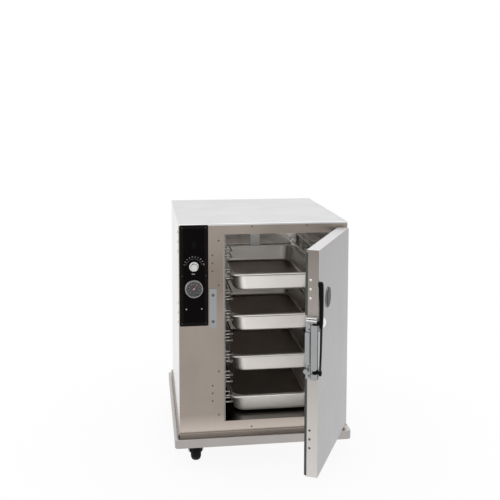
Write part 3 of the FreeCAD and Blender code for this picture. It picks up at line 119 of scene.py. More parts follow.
def between(tree, pattern, low, high):
    """Spread a noise over a range of values."""
    spread = tree.nodes.new("ShaderNodeMapRange")
    spread.inputs["From Min"].default_value = NOISE_LOW
    spread.inputs["From Max"].default_value = NOISE_HIGH
    spread.inputs["To Min"].default_value = low
    spread.inputs["To Max"].default_value = high
    tree.links.new(pattern, spread.inputs["Value"])
    return spread.outputs["Result"]


def shade(colour, factor):
    return tuple(min(1.0, channel * factor) for channel in colour)


def tinted(tree, shader, pattern, colour, low, high):
    """Colour that drifts between a darker and a lighter shade of itself."""
    blend = tree.nodes.new("ShaderNodeMix")
    blend.data_type = "RGBA"
    blend.inputs[MIX_FIRST].default_value = (*shade(colour, low), 1)
    blend.inputs[MIX_SECOND].default_value = (*shade(colour, high), 1)
    tree.links.new(between(tree, pattern, 0.0, 1.0), blend.inputs[MIX_SHARE])
    tree.links.new(blend.outputs[MIX_RESULT], shader.inputs["Base Color"])


def uneven(tree, shader, pattern, low, high):
    """Roughness that drifts between two values."""
    tree.links.new(between(tree, pattern, low, high), shader.inputs["Roughness"])


def bumped(tree, shader, heights):
    """Stack bumps, each a height pattern with its strength and depth in metres."""
    normal = None
    for height, strength, depth in heights:
        bump = tree.nodes.new("ShaderNodeBump")
        bump.inputs["Strength"].default_value = strength
        bump.inputs["Distance"].default_value = depth
        tree.links.new(height, bump.inputs["Height"])
        if normal is not None:
            tree.links.new(normal, bump.inputs["Normal"])
        normal = bump.outputs["Normal"]
    tree.links.new(normal, shader.inputs["Normal"])


# Masks of the materials

def exceeds(tree, value, least):
    """1 where a value is greater than the least one, else 0."""
    test = tree.nodes.new("ShaderNodeMath")
    test.operation = "GREATER_THAN"
    test.inputs[1].default_value = least
    tree.links.new(value, test.inputs[0])
    return test.outputs[0]


def place_along(tree, axis):
    """A piece's own place along an axis."""
    apart = tree.nodes.new("ShaderNodeSeparateXYZ")
    tree.links.new(own_place(tree), apart.inputs[0])
    return apart.outputs[axis]


def looking(tree, way, least=SQUARELY):
    """1 where a piece's own surface looks a given way, else 0."""
    where = tree.nodes.new("ShaderNodeTexCoord")
    along = tree.nodes.new("ShaderNodeVectorMath")
    along.operation = "DOT_PRODUCT"
    along.inputs[1].default_value = way
    tree.links.new(where.outputs["Normal"], along.inputs[0])
    return exceeds(tree, along.outputs["Value"], least)


def past(tree, axis, place):
    """1 where a piece lies past a place along an axis, else 0."""
    return exceeds(tree, place_along(tree, axis), place)


def short_of(tree, axis, place):
    """1 where a piece lies short of a place along an axis, else 0."""
    rest = tree.nodes.new("ShaderNodeMath")
    rest.operation = "SUBTRACT"
    rest.inputs[0].default_value = 1.0
    tree.links.new(past(tree, axis, place), rest.inputs[1])
    return rest.outputs[0]


def rising(tree, low, high):
    """0 at one height, 1 at another, and even between them."""
    spread = tree.nodes.new("ShaderNodeMapRange")
    spread.inputs["From Min"].default_value = low
    spread.inputs["From Max"].default_value = high
    tree.links.new(place_along(tree, "Z"), spread.inputs["Value"])
    return spread.outputs["Result"]


def beyond(tree, place, reach):
    """1 where a piece lies further from a place than a reach, else 0."""
    span = tree.nodes.new("ShaderNodeVectorMath")
    span.operation = "DISTANCE"
    span.inputs[1].default_value = place
    tree.links.new(own_place(tree), span.inputs[0])
    return exceeds(tree, span.outputs["Value"], reach)


def both(tree, one, other):
    """Where two masks hold together."""
    product = tree.nodes.new("ShaderNodeMath")
    product.operation = "MULTIPLY"
    tree.links.new(one, product.inputs[0])
    tree.links.new(other, product.inputs[1])
    return product.outputs[0]


def recoloured(material, mask_of, colour):
    """Another shade of a finish where a mask holds."""
    tree = material.node_tree
    shader = tree.nodes["Principled BSDF"]
    before = shader.inputs["Base Color"].links[0].from_socket
    blend = tree.nodes.new("ShaderNodeMix")
    blend.data_type = "RGBA"
    blend.inputs[MIX_SECOND].default_value = (*colour, 1)
    tree.links.new(mask_of(tree), blend.inputs[MIX_SHARE])
    tree.links.new(before, blend.inputs[MIX_FIRST])
    tree.links.new(blend.outputs[MIX_RESULT], shader.inputs["Base Color"])


# Kinds of finish

GRAIN = {"x": (7, 900, 900), "z": (900, 900, 7)}
WAVE_STRETCH = (1, 1, 0.35)
WAVE_DEPTH = 4 * MM
SHEET_WAVE = 0.25
STIFF_WAVE = 0.1
LINE_CUT = 0.12
LINE_DEPTH = 0.2 * MM
LINE_SPREAD = 0.06
GRAIN_STRENGTH = 0.3
COARSE_GRAIN = 0.3 * MM
FINE_GRAIN = 0.1 * MM
FIBRE_STRENGTH = 0.8
FIBRE_DEPTH = 2 * MM


def brushed_steel(name, colour, roughness, grain, wave=SHEET_WAVE):
    """Stainless sheet with fine polishing lines, faint handling marks and a little waviness."""
    material, tree, shader = finish_of(name, colour, roughness, metallic=1.0)
    lines = noise(tree, GRAIN[grain], detail=2.0)
    patches = noise(tree, EVEN, size=7.0, detail=4.0)
    waves = noise(tree, WAVE_STRETCH, size=5.0, detail=1.0)
    tinted(tree, shader, patches, colour, low=0.95, high=1.05)
    uneven(tree, shader, lines, low=roughness - LINE_SPREAD, high=roughness + LINE_SPREAD)
    bumped(tree, shader, [(waves, wave, WAVE_DEPTH), (lines, LINE_CUT, LINE_DEPTH)])
    return material


def moulded(name, colour, roughness, grain=COARSE_GRAIN, **sockets):
    """Moulded plastic or rubber with a fine texture and slightly uneven sheen."""
    material, tree, shader = finish_of(name, colour, roughness, **sockets)
    fine = noise(tree, EVEN, size=900.0, detail=2.0)
    broad = noise(tree, EVEN, size=25.0, detail=3.0)
    tinted(tree, shader, broad, colour, low=0.85, high=1.15)
    uneven(tree, shader, broad, low=roughness - 0.05, high=roughness + 0.07)
    bumped(tree, shader, [(fine, GRAIN_STRENGTH, grain)])
    return material


def plated(name, colour, roughness):
    """Bright plating with small marks."""
    material, tree, shader = finish_of(name, colour, roughness, metallic=1.0)
    marks = noise(tree, EVEN, size=60.0, detail=5.0)
    tinted(tree, shader, marks, colour, low=0.93, high=1.05)
    uneven(tree, shader, marks, low=roughness - 0.04, high=roughness + 0.08)
    return material


def wool(name, colour):
    """Mineral wool with tangled fibres."""
    material, tree, shader = finish_of(name, colour, roughness=0.95)
    fibres = noise(tree, EVEN, size=250.0, detail=6.0)
    tinted(tree, shader, fibres, colour, low=0.7, high=1.15)
    bumped(tree, shader, [(fibres, FIBRE_STRENGTH, FIBRE_DEPTH)])
    return material


# The cabinet's sheets here (frame, side, top, door, door lining, liner, guard, base and bumper) are one
# stainless steel. Their tones differ as painted light and shade, each set to how bright that sheet shows.
# The frame's and base's warm dark tone is a painted reflection of warm surroundings, and the guard's
# near-white tone is a painted highlight.
STEEL = {
    "frame": brushed_steel("frame_steel", (0.34, 0.295, 0.26), 0.34, "z"),
    "side": brushed_steel("side_steel", (0.80, 0.79, 0.78), 0.26, "z"),
    "top": brushed_steel("top_steel", (0.64, 0.635, 0.64), 0.34, "x"),
    "door": brushed_steel("door_steel", (0.405, 0.395, 0.405), 0.32, "z"),
    "liner": brushed_steel("liner_steel", (0.62, 0.60, 0.57), 0.16, "z", STIFF_WAVE),
    "guard": brushed_steel("guard_steel", (0.93, 0.97, 1.0), 0.32, "z", STIFF_WAVE),
    "latch": brushed_steel("latch_steel", (0.34, 0.345, 0.35), 0.28, "z"),
    "door_lining": brushed_steel("door_lining_steel", (0.80, 0.79, 0.78), 0.26, "z"),
    "base": brushed_steel("base_steel", (0.36, 0.32, 0.285), 0.34, "x"),
    "bumper": brushed_steel("bumper_steel", (0.42, 0.395, 0.38), 0.30, "x"),
    "wire": plated("rack_plating", (0.40, 0.38, 0.36), 0.30),
    "plain": brushed_steel("plain_steel", (0.45, 0.45, 0.45), 0.36, "z"),
    "strike": brushed_steel("strike_steel", (0.31, 0.32, 0.325), 0.28, "z"),
}
CHROME = plated("bright_plating", (0.85, 0.85, 0.85), 0.12)
PLUG_STEEL = plated("plug_plating", (0.80, 0.78, 0.76), 0.25)
KNOB = plated("knob_plating", (0.62, 0.62, 0.61), 0.22)
DARK_STEEL = plated("dark_screws", (0.16, 0.15, 0.14), 0.4)
SATIN_STEEL = plated("satin_plating", (0.30, 0.30, 0.30), 0.28)
PANEL_SCREW = plated("panel_screws", (0.05, 0.046, 0.046), 0.4)
BLACK_GLOSS = moulded("panel_black", (0.0045, 0.0035, 0.004), 0.42, FINE_GRAIN, Specular_IOR_Level=0.03)
BLACK = moulded("black_moulding", (0.004, 0.004, 0.004), 0.5, Specular_IOR_Level=0.08)
RUBBER = moulded("seal_rubber", (0.105, 0.11, 0.098), 0.7, Specular_IOR_Level=0.2)
TREAD = moulded("wheel_rubber", (0.006, 0.006, 0.006), 0.62, Specular_IOR_Level=0.15)
RED = moulded("needle_red", (0.55, 0.02, 0.04), 0.35)
INK = moulded("panel_print", (0.62, 0.62, 0.60), 0.6)
DIAL_INK = moulded("dial_print", (0.40, 0.39, 0.38), 0.6)
DIAL = moulded("dial_face", (0.018, 0.015, 0.015), 0.5, Specular_IOR_Level=0.1)
PANEL_EDGE = moulded("panel_edge", (0.009, 0.0065, 0.0065), 0.45, Specular_IOR_Level=0.06)
MEDALLION = moulded("medallion_grey", (0.042, 0.042, 0.044), 0.4, Specular_IOR_Level=0.12)
LAMP = moulded("lamp_lens", (0.58, 0.57, 0.54), 0.2, FINE_GRAIN, Coat_Weight=0.6)
WOOL = wool("mineral_wool", (0.62, 0.58, 0.42))
GLASS = finish_of("dial_glass", (0.97, 0.98, 0.98), 0.03, Transmission_Weight=1.0, IOR=1.45)[0]


# Painted light and shade within a finish

FOLD_OUT = (EDGE_OUT + DOOR_OUT).normalized()
FRAME_FADE = 30 * MM
STILE_FADE = 120 * MM
SHEET_NEAR = 3 * MM


def side(way):
    """Mask of the surfaces that look a given way."""
    return lambda tree: looking(tree, way)


def door_rise(tree):
    return rising(tree, DOOR_FOOT, DOOR_HEAD)


def upper_edge(tree):
    return both(tree, looking(tree, EDGE_OUT), door_rise(tree))


def frame_low(tree):
    return rising(tree, CAVITY_LOW.z + FRAME_FADE, FRAME_FOOT)


def stile(tree):
    """The strip between the control panel and the opening, fading out at both its ends."""
    across = both(tree, past(tree, "X", PANEL_HIGH.x), short_of(tree, "X", CAVITY_LOW.x))
    lower = rising(tree, PANEL_LOW.z, PANEL_LOW.z + STILE_FADE)
    upper = rising(tree, CAVITY_HIGH.z, CAVITY_HIGH.z - STILE_FADE)
    return both(tree, across, both(tree, lower, upper))


def cavity_back(tree):
    return past(tree, "Y", CAVITY_HIGH.y - SHEET_NEAR)


# Painted light on the door: its face and free edge are painted darker towards the top, the free edge
# lighter and warmer, and the top face and folds bright, as painted reflections and highlights.
recoloured(STEEL["door"], door_rise, (0.335, 0.325, 0.325))
recoloured(STEEL["door"], side(EDGE_OUT), (0.66, 0.63, 0.605))
recoloured(STEEL["door"], upper_edge, (0.25, 0.225, 0.20))
recoloured(STEEL["door"], side(UP), (0.66, 0.65, 0.65))
recoloured(STEEL["door"], side(FOLD_OUT), (0.52, 0.51, 0.50))
# Painted light: the frame is painted lighter low down as a painted reflection and darker on its stile as
# painted shade, and the bumper's top is painted bright as a painted reflection.
recoloured(STEEL["frame"], frame_low, (0.60, 0.53, 0.47))
recoloured(STEEL["frame"], stile, (0.262, 0.222, 0.19))
recoloured(STEEL["bumper"], side(UP), (0.52, 0.50, 0.485))
# Painted light in the cavity: its back is painted bright as if lit. Its floor is much darker.
recoloured(STEEL["liner"], cavity_back, (0.95, 0.94, 0.92))
recoloured(STEEL["liner"], side(UP), (0.15, 0.142, 0.13))

# Each pan's tone, a painted shade for how bright that pan shows, and its roughness. Under the rim, a
# painted shadow starts and ends this far below the top.
PANS = {"pan_1": (1.0, 0.47), "pan_2": (0.93, 0.47), "pan_3": (0.83, 0.47), "pan_4": (1.0, 0.60)}
PAN_STEEL = (0.97, 0.93, 0.89)
RIM_SHADE_HIGH = 4.1 * MM
RIM_SHADE_LOW = 10.5 * MM


def pan_finish(name, tone, roughness):
    """Satin steel pan, with a painted shadow under its rim and painted shade on its floor."""
    low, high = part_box(name)
    middle = (low + high) / 2
    finish = brushed_steel(name + "_steel", shade(PAN_STEEL, tone), roughness, "x", STIFF_WAVE)

    def floor_of(tree):
        return both(tree, looking(tree, UP), short_of(tree, "Z", middle.z))

    def under_rim(tree):
        start = short_of(tree, "Z", high.z - RIM_SHADE_HIGH)
        end = past(tree, "Z", high.z - RIM_SHADE_LOW)
        front = both(tree, looking(tree, FRONT, ROUGHLY), short_of(tree, "Y", middle.y))
        return both(tree, both(tree, end, start), front)

    recoloured(finish, under_rim, (0.24, 0.22, 0.20))
    recoloured(finish, floor_of, (0.46, 0.40, 0.36))
    return finish


# Finishes of the CAD nodes

def paint(material, *names):
    """Give CAD nodes a finish."""
    for name in names:
        nodes[name].data.materials.clear()
        nodes[name].data.materials.append(material)


def ending(*ends):
    """CAD nodes whose names end in one of these ways."""
    return [name for name in nodes if name.endswith(ends)]


paint(STEEL["frame"], "face_frame", "compartment_wall")
paint(STEEL["side"], "left_panel", "right_panel", "back_panel")
paint(STEEL["top"], "top_panel")
paint(STEEL["door"], "door_outer")
paint(STEEL["door_lining"], "door_inner")
paint(STEEL["liner"], "inner_liner")
paint(STEEL["guard"], "sensor_guard")
paint(STEEL["base"], "base_pan")
paint(STEEL["bumper"], "bumper")
paint(STEEL["wire"], "slide_rack_left", "slide_rack_right")
paint(STEEL["strike"], "strike_plate")
paint(STEEL["latch"], "latch_magnet", "latch_base")
paint(STEEL["plain"], "sensor_bulb", "heating_element", "caster_plates", *ending("_axle"))
for name, (tone, roughness) in PANS.items():
    paint(pan_finish(name, tone, roughness), name)
paint(TREAD, *ending("_wheel"))
paint(BLACK, *ending("_pedal", "_fork"))
paint(BLACK, "switch_housing", "rocker", "thermostat", "terminal_block", "power_inlet", "latch_handle")
paint(BLACK_GLOSS, "control_panel")
paint(CHROME, "latch_pin", "hinge_frame_leaves", "hinge_door_leaves", "hinge_pins")
paint(SATIN_STEEL, "thermometer_case")
paint(KNOB, "knob")
paint(RUBBER, "door_gasket")
paint(WOOL, "insulation", "door_insulation")
paint(RED, "thermometer_needle")
paint(GLASS, "thermometer_lens")
paint(LAMP, "pilot_lights")


# Making and fitting fine pieces

MERGE = 1e-6


def plain_object(name, mesh, material=None):
    """Object at the origin for a finished mesh."""
    made = bpy.data.objects.new(name, mesh)
    scene.collection.objects.link(made)
    if material is not None:
        mesh.materials.clear()
        mesh.materials.append(material)
    return made


def fit(made, body, slot, *stands_for):
    """Let a finished piece ride on a body. Its slot of the record is not used."""
    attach(made, body)
    if stands_for:
        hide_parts(*stands_for)


def mesh_of(name, made):
    """Mesh from edited geometry, which is freed."""
    mesh = bpy.data.meshes.new(name)
    made.to_mesh(mesh)
    made.free()
    return mesh


def evaluated_mesh(seed):
    """Plain mesh of an object as it is seen. The object is removed."""
    mesh = bpy.data.meshes.new_from_object(seed.evaluated_get(bpy.context.evaluated_depsgraph_get()))
    bpy.data.objects.remove(seed)
    return mesh


def add_block(made, low, high):
    """Block between two corners."""
    bmesh.ops.create_cube(made, size=1.0, matrix=Matrix.LocRotScale((low + high) / 2, None, high - low))


def soften(made, edge):
    """Round off all edges."""
    bmesh.ops.bevel(made, geom=made.edges, offset=edge, segments=2, affect="EDGES", profile=0.5)


def facing(place, out):
    """Turn that takes +Z to the way out and moves the origin to the place."""
    return Matrix.Translation(place) @ out.to_track_quat("Z", "Y").to_matrix().to_4x4()


def lathe(name, profile, place, out, material, steps=48):
    """Turned piece from (radius, height) pairs along the way out."""
    made = bmesh.new()
    line = [made.verts.new((radius, 0, height)) for radius, height in profile]
    edges = [made.edges.new(pair) for pair in zip(line, line[1:])]
    bmesh.ops.spin(
        made, geom=line + edges, cent=(0, 0, 0), axis=UP, angle=math.tau, steps=steps, use_merge=True
    )
    bmesh.ops.remove_doubles(made, verts=made.verts, dist=MERGE)
    bmesh.ops.recalc_face_normals(made, faces=made.faces)
    made.transform(facing(place, out))
    for face in made.faces:
        face.smooth = True
    return plain_object(name, mesh_of(name, made), material)


def middle_of(name):
    low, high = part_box(name)
    return (low + high) / 2


def islands(name):
    """Middle and size of each separate solid of a CAD node."""
    made = bmesh.new()
    made.from_mesh(nodes[name].data)
    bmesh.ops.remove_doubles(made, verts=made.verts, dist=MERGE)
    left = set(made.verts)
    found = []
    while left:
        group = []
        queue = [left.pop()]
        while queue:
            vert = queue.pop()
            group.append(vert.co.copy())
            near = [edge.other_vert(vert) for edge in vert.link_edges]
            queue += [other for other in near if other in left]
            left.difference_update(near)
        low = Vector([min(co[axis] for co in group) for axis in range(3)])
        high = Vector([max(co[axis] for co in group) for axis in range(3)])
        found.append(((low + high) / 2, high - low))
    made.free()
    return found


# Repeated pieces, grown with geometry nodes

HEAD_SIDES = 20


def geometry_tree(name, inputs):
    """Empty tree with named inputs. Returns the tree, its input node and its output node."""
    tree = bpy.data.node_groups.new(name, "GeometryNodeTree")
    tree.interface.new_socket("Geometry", in_out="INPUT", socket_type="NodeSocketGeometry")
    for label, kind in inputs.items():
        tree.interface.new_socket(label, in_out="INPUT", socket_type=f"NodeSocket{kind}")
    tree.interface.new_socket("Geometry", in_out="OUTPUT", socket_type="NodeSocketGeometry")
    return tree, tree.nodes.new("NodeGroupInput"), tree.nodes.new("NodeGroupOutput")


def finish_tree(tree, given, end, instances):
    """End a tree in plain geometry with a material."""
    real = tree.nodes.new("GeometryNodeRealizeInstances")
    dressed = tree.nodes.new("GeometryNodeSetMaterial")
    tree.links.new(instances, real.inputs[0])
    tree.links.new(real.outputs[0], dressed.inputs["Geometry"])
    tree.links.new(given.outputs["Material"], dressed.inputs["Material"])
    tree.links.new(dressed.outputs[0], end.inputs[0])


def grown(name, tree, mesh, settings):
    """Plain object that a tree grows from a mesh."""
    seed = plain_object(name + "_points", mesh)
    modifier = seed.modifiers.new("grow", "NODES")
    modifier.node_group = tree
    for socket in tree.interface.items_tree:
        if socket.in_out == "INPUT" and socket.name in settings:
            modifier[socket.identifier] = settings[socket.name]
    result = evaluated_mesh(seed)
    result.name = name
    return plain_object(name, result)


def screw_tree():
    """Screw head with a cross recess on every point, as large as the point's own size."""
    tree, given, end = geometry_tree("screw_heads", {
        "Head Height": "Float",
        "Top Radius": "Float",
        "Slot Width": "Float",
        "Turn": "Rotation",
        "Material": "Material",
    })
    head = tree.nodes.new("GeometryNodeMeshCone")
    head.inputs["Vertices"].default_value = HEAD_SIDES
    head.inputs["Radius Bottom"].default_value = 1.0
    tree.links.new(given.outputs["Top Radius"], head.inputs["Radius Top"])
    tree.links.new(given.outputs["Head Height"], head.inputs["Depth"])
    lift = tree.nodes.new("ShaderNodeCombineXYZ")
    tree.links.new(given.outputs["Head Height"], lift.inputs["Z"])
    current = head.outputs["Mesh"]
    for along, across in (("X", "Y"), ("Y", "X")):
        size = tree.nodes.new("ShaderNodeCombineXYZ")
        size.inputs[along].default_value = 1.0
        tree.links.new(given.outputs["Slot Width"], size.inputs[across])
        tree.links.new(given.outputs["Head Height"], size.inputs["Z"])
        slot = tree.nodes.new("GeometryNodeMeshCube")
        tree.links.new(size.outputs[0], slot.inputs["Size"])
        raised = tree.nodes.new("GeometryNodeTransform")
        tree.links.new(slot.outputs["Mesh"], raised.inputs["Geometry"])
        tree.links.new(lift.outputs[0], raised.inputs["Translation"])
        cut = tree.nodes.new("GeometryNodeMeshBoolean")
        cut.operation = "DIFFERENCE"
        tree.links.new(current, cut.inputs["Mesh 1"])
        tree.links.new(raised.outputs["Geometry"], cut.inputs["Mesh 2"])
        current = cut.outputs["Mesh"]
    own_size = tree.nodes.new("GeometryNodeInputNamedAttribute")
    own_size.data_type = "FLOAT"
    own_size.inputs["Name"].default_value = "size"
    placed = tree.nodes.new("GeometryNodeInstanceOnPoints")
    tree.links.new(given.outputs["Geometry"], placed.inputs["Points"])
    tree.links.new(current, placed.inputs["Instance"])
    tree.links.new(given.outputs["Turn"], placed.inputs["Rotation"])
    tree.links.new(own_size.outputs["Attribute"], placed.inputs["Scale"])
    finish_tree(tree, given, end, placed.outputs["Instances"])
    return tree


def mark_tree():
    """Short printed bars on an arc in the panel's face, from one angle over a sweep."""
    tree, given, end = geometry_tree("scale_marks", {
        "Count": "Int",
        "Radius": "Float",
        "Start": "Float",
        "Sweep": "Float",
        "Bar": "Vector",
        "Material": "Material",
    })
    points = tree.nodes.new("GeometryNodePoints")
    tree.links.new(given.outputs["Count"], points.inputs["Count"])
    index = tree.nodes.new("GeometryNodeInputIndex")

    def sum_of(operation, *terms):
        made = tree.nodes.new("ShaderNodeMath")
        made.operation = operation
        for socket, term in zip(made.inputs, terms):
            if isinstance(term, float):
                socket.default_value = term
            else:
                tree.links.new(term, socket)
        return made.outputs[0]

    last = sum_of("SUBTRACT", given.outputs["Count"], 1.0)
    share = sum_of("DIVIDE", index.outputs[0], last)
    angle = sum_of("MULTIPLY_ADD", share, given.outputs["Sweep"], given.outputs["Start"])
    spot = tree.nodes.new("ShaderNodeCombineXYZ")
    for axis, operation in (("X", "COSINE"), ("Z", "SINE")):
        reach = sum_of("MULTIPLY", sum_of(operation, angle), given.outputs["Radius"])
        tree.links.new(reach, spot.inputs[axis])
    turn = tree.nodes.new("ShaderNodeCombineXYZ")
    tree.links.new(sum_of("MULTIPLY", angle, -1.0), turn.inputs["Y"])
    bar = tree.nodes.new("GeometryNodeMeshCube")
    tree.links.new(given.outputs["Bar"], bar.inputs["Size"])
    moved = tree.nodes.new("GeometryNodeSetPosition")
    tree.links.new(points.outputs[0], moved.inputs["Geometry"])
    tree.links.new(spot.outputs[0], moved.inputs["Position"])
    placed = tree.nodes.new("GeometryNodeInstanceOnPoints")
    tree.links.new(moved.outputs[0], placed.inputs["Points"])
    tree.links.new(bar.outputs["Mesh"], placed.inputs["Instance"])
    tree.links.new(turn.outputs[0], placed.inputs["Rotation"])
    finish_tree(tree, given, end, placed.outputs["Instances"])
    return tree


SCREWS = screw_tree()
MARKS = mark_tree()


# Screws and plugs

HEAD_HEIGHT = 1.1 * MM
# From these radii on, a frame screw holds the strike, and a door screw is a plug.
STRIKE_RADIUS = 5.0 * MM
PLUG_RADIUS = 4.0 * MM
# Shares of a head's radius.
HEAD_TOP = 0.66
SLOT_WIDTH = 0.22
HEAD_TALL = 0.36
PLUG_TALL = 0.25
STRIKE_TALL = 0.2


def fit_screws(name, spots, out, material, body, slot, *stands_for, tall=HEAD_TALL):
    """Heads with cross recesses at (place of the rim's middle, radius) pairs."""
    mesh = bpy.data.meshes.new(name)
    mesh.from_pydata([place for place, radius in spots], [], [])
    sizes = mesh.attributes.new("size", "FLOAT", "POINT")
    sizes.data.foreach_set("value", [radius for place, radius in spots])
    made = grown(name, SCREWS, mesh, {
        "Head Height": tall,
        "Top Radius": HEAD_TOP,
        "Slot Width": SLOT_WIDTH,
        "Turn": out.to_track_quat("Z", "Y").to_euler(),
        "Material": material,
    })
    fit(made, body, slot, *stands_for)


def seats(name, out):
    """Rim middle and radius of each head of a CAD node."""
    return [(middle - out * (HEAD_HEIGHT / 2), size.z / 2) for middle, size in islands(name)]


def parted(spots, limit):
    """Seats with a radius below a limit, and the rest."""
    return [spot for spot in spots if spot[1] < limit], [spot for spot in spots if spot[1] >= limit]


face_seats, strike_seats = parted(seats("frame_screws", FRONT), STRIKE_RADIUS)
latch_seats, plug_seats = parted(seats("door_screws", EDGE_OUT), PLUG_RADIUS)
panel_seats = seats("panel_screws", FRONT)
edge_middle = (DOOR_FOOT + DOOR_HEAD) / 2
upper_seats = [spot for spot in plug_seats if spot[0].z > edge_middle]
lower_seats = [spot for spot in plug_seats if spot[0].z < edge_middle]
fit_screws("face_screws", face_seats, FRONT, DARK_STEEL, "cabinet", "plain_steel", "frame_screws")
fit_screws("strike_screws", strike_seats, FRONT, DARK_STEEL, "cabinet", "plain_steel", tall=STRIKE_TALL)
fit_screws("panel_heads", panel_seats, FRONT, PANEL_SCREW, "cabinet", "plain_steel", "panel_screws")
# The plugs are all alike: the upper ones are painted bright as a painted highlight and the lower ones dark
# as painted shade.
fit_screws(
    "upper_plugs", upper_seats, EDGE_OUT, PLUG_STEEL, "door", "plain_steel", "door_screws", tall=PLUG_TALL,
)
fit_screws("lower_plugs", lower_seats, EDGE_OUT, DARK_STEEL, "door", "plain_steel", tall=PLUG_TALL)
fit_screws("latch_screws", latch_seats, EDGE_OUT, DARK_STEEL, "door", "plain_steel")


# Folded edge of the cavity's sheet, a bright line along the opening's left side

LIP_IN = 4.2 * MM
LIP_WIDTH = 2.2 * MM
LIP_DEPTH = 12 * MM
LIP_EDGE = 0.5 * MM


def make_lip(name):
    rack_low, rack_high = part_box("slide_rack_left")
    left = rack_low.x + LIP_IN
    lip = bmesh.new()
    add_block(
        lip,
        Vector((left, CAVITY_LOW.y, rack_low.z)),
        Vector((left + LIP_WIDTH, CAVITY_LOW.y + LIP_DEPTH, rack_high.z)),
    )
    soften(lip, LIP_EDGE)
    fit(plain_object(name, mesh_of(name, lip), STEEL["plain"]), "cabinet", "liner_steel")


make_lip("opening_lip")


# Bends at the front ends of the rack wires

END_DEPTH = 0.5 * MM
WIRES_APART = 3 * MM
ROD_SIDES = 16
BALL_RINGS = 10
BALL_SWELL = 1.02


def wire_ends(name):
    """Middle and radius of each front wire end of a rack."""
    points = [vertex.co for vertex in nodes[name].data.vertices]
    front = min(point.y for point in points)
    ends = sorted((point for point in points if point.y < front + END_DEPTH), key=lambda point: point.z)
    groups = [[ends[0]]]
    for point in ends[1:]:
        if point.z - groups[-1][-1].z > WIRES_APART:
            groups.append([])
        groups[-1].append(point)
    for group in groups:
        middle = sum(group, Vector()) / len(group)
        yield middle, (group[-1].z - group[0].z) / 2


def bends(name, rack, wall_x):
    """Rods that turn from each wire's front end to the wall."""
    made = bmesh.new()
    sideways = Matrix.Rotation(math.pi / 2, 4, "Y")
    for middle, radius in wire_ends(rack):
        across = wall_x - middle.x
        bmesh.ops.create_cone(
            made, cap_ends=True, segments=ROD_SIDES, radius1=radius, radius2=radius, depth=abs(across),
            matrix=Matrix.Translation(middle + Vector((across / 2, 0, 0))) @ sideways,
        )
        bmesh.ops.create_uvsphere(
            made, u_segments=ROD_SIDES, v_segments=BALL_RINGS, radius=radius * BALL_SWELL,
            matrix=Matrix.Translation(middle),
        )
    for face in made.faces:
        face.smooth = len(face.verts) <= 4
    fit(plain_object(name, mesh_of(name, made), STEEL["wire"]), "cabinet", "rack_steel")


bends("left_rack_bends", "slide_rack_left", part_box("slide_rack_left")[0].x)
bends("right_rack_bends", "slide_rack_right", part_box("slide_rack_right")[1].x)


# Pilot lights, whose lens is only the middle of each head

LENS_REACH = 2.2 * MM
lens_tops = [middle + FRONT * (size.y / 2) for middle, size in islands("pilot_lights")]


def off_lens(tree):
    left, right = (beyond(tree, top, LENS_REACH) for top in lens_tops)
    return both(tree, left, right)


recoloured(LAMP, off_lens, (0.012, 0.011, 0.011))


# Print on the control panel and the dial

PRINT_OUT = 0.06 * MM
PRINT_THICK = 0.1 * MM
BAR_WIDTH = 0.5 * MM
DIAL_OUT = 1.75 * MM
DIAL_HOLE = 1.4 * MM
DIAL_FLAT = 25.4 * MM
DIAL_RADIUS = 25.8 * MM
DIAL_THICK = 0.1 * MM
CAP_PROFILE = [(0, 0), (1.9 * MM, 0), (1.8 * MM, 0.4 * MM), (1.2 * MM, 0.7 * MM), (0, 0.8 * MM)]
CAP_STEPS = 20


def on_panel(name):
    """Middle of a CAD node, moved to the panel's face."""
    middle = middle_of(name)
    return Vector((middle.x, PANEL_FACE, middle.z))


def printed(name, text, size, place, turn):
    """Flat lettering on the panel's side of the cabinet, as a thin mesh."""
    curve = bpy.data.curves.new(name, "FONT")
    curve.body = text
    curve.size = size
    curve.align_x = "CENTER"
    curve.align_y = "CENTER"
    curve.extrude = PRINT_THICK / 2
    mesh = evaluated_mesh(plain_object(name + "_curve", curve))
    upright = Matrix.Rotation(math.pi / 2, 4, "X")
    mesh.transform(Matrix.Translation(place) @ Matrix.Rotation(turn, 4, "Y") @ upright)
    return mesh


def bars_of(name, place, ink, count, radius, start, sweep, length, width):
    """Printed bars on an arc."""
    bars = grown(name, MARKS, bpy.data.meshes.new(name + "_seed"), {
        "Count": count,
        "Radius": radius,
        "Start": start,
        "Sweep": sweep,
        "Bar": (length, PRINT_THICK, width),
        "Material": ink,
    })
    bars.data.transform(Matrix.Translation(place))
    fit(bars, "cabinet", "bright_metal")


def numbers_of(name, place, ink, numbers, reach, start, sweep, size):
    """Printed numbers on an arc, in one piece."""
    made = bmesh.new()
    for index, number in enumerate(numbers):
        angle = start + sweep * index / (len(numbers) - 1)
        spot = place + Vector((math.cos(angle) * reach, 0, math.sin(angle) * reach))
        made.from_mesh(printed(f"{name}_{number}", str(number), size, spot, math.pi / 2 - angle))
    fit(plain_object(name, mesh_of(name, made), ink), "cabinet", "bright_metal")


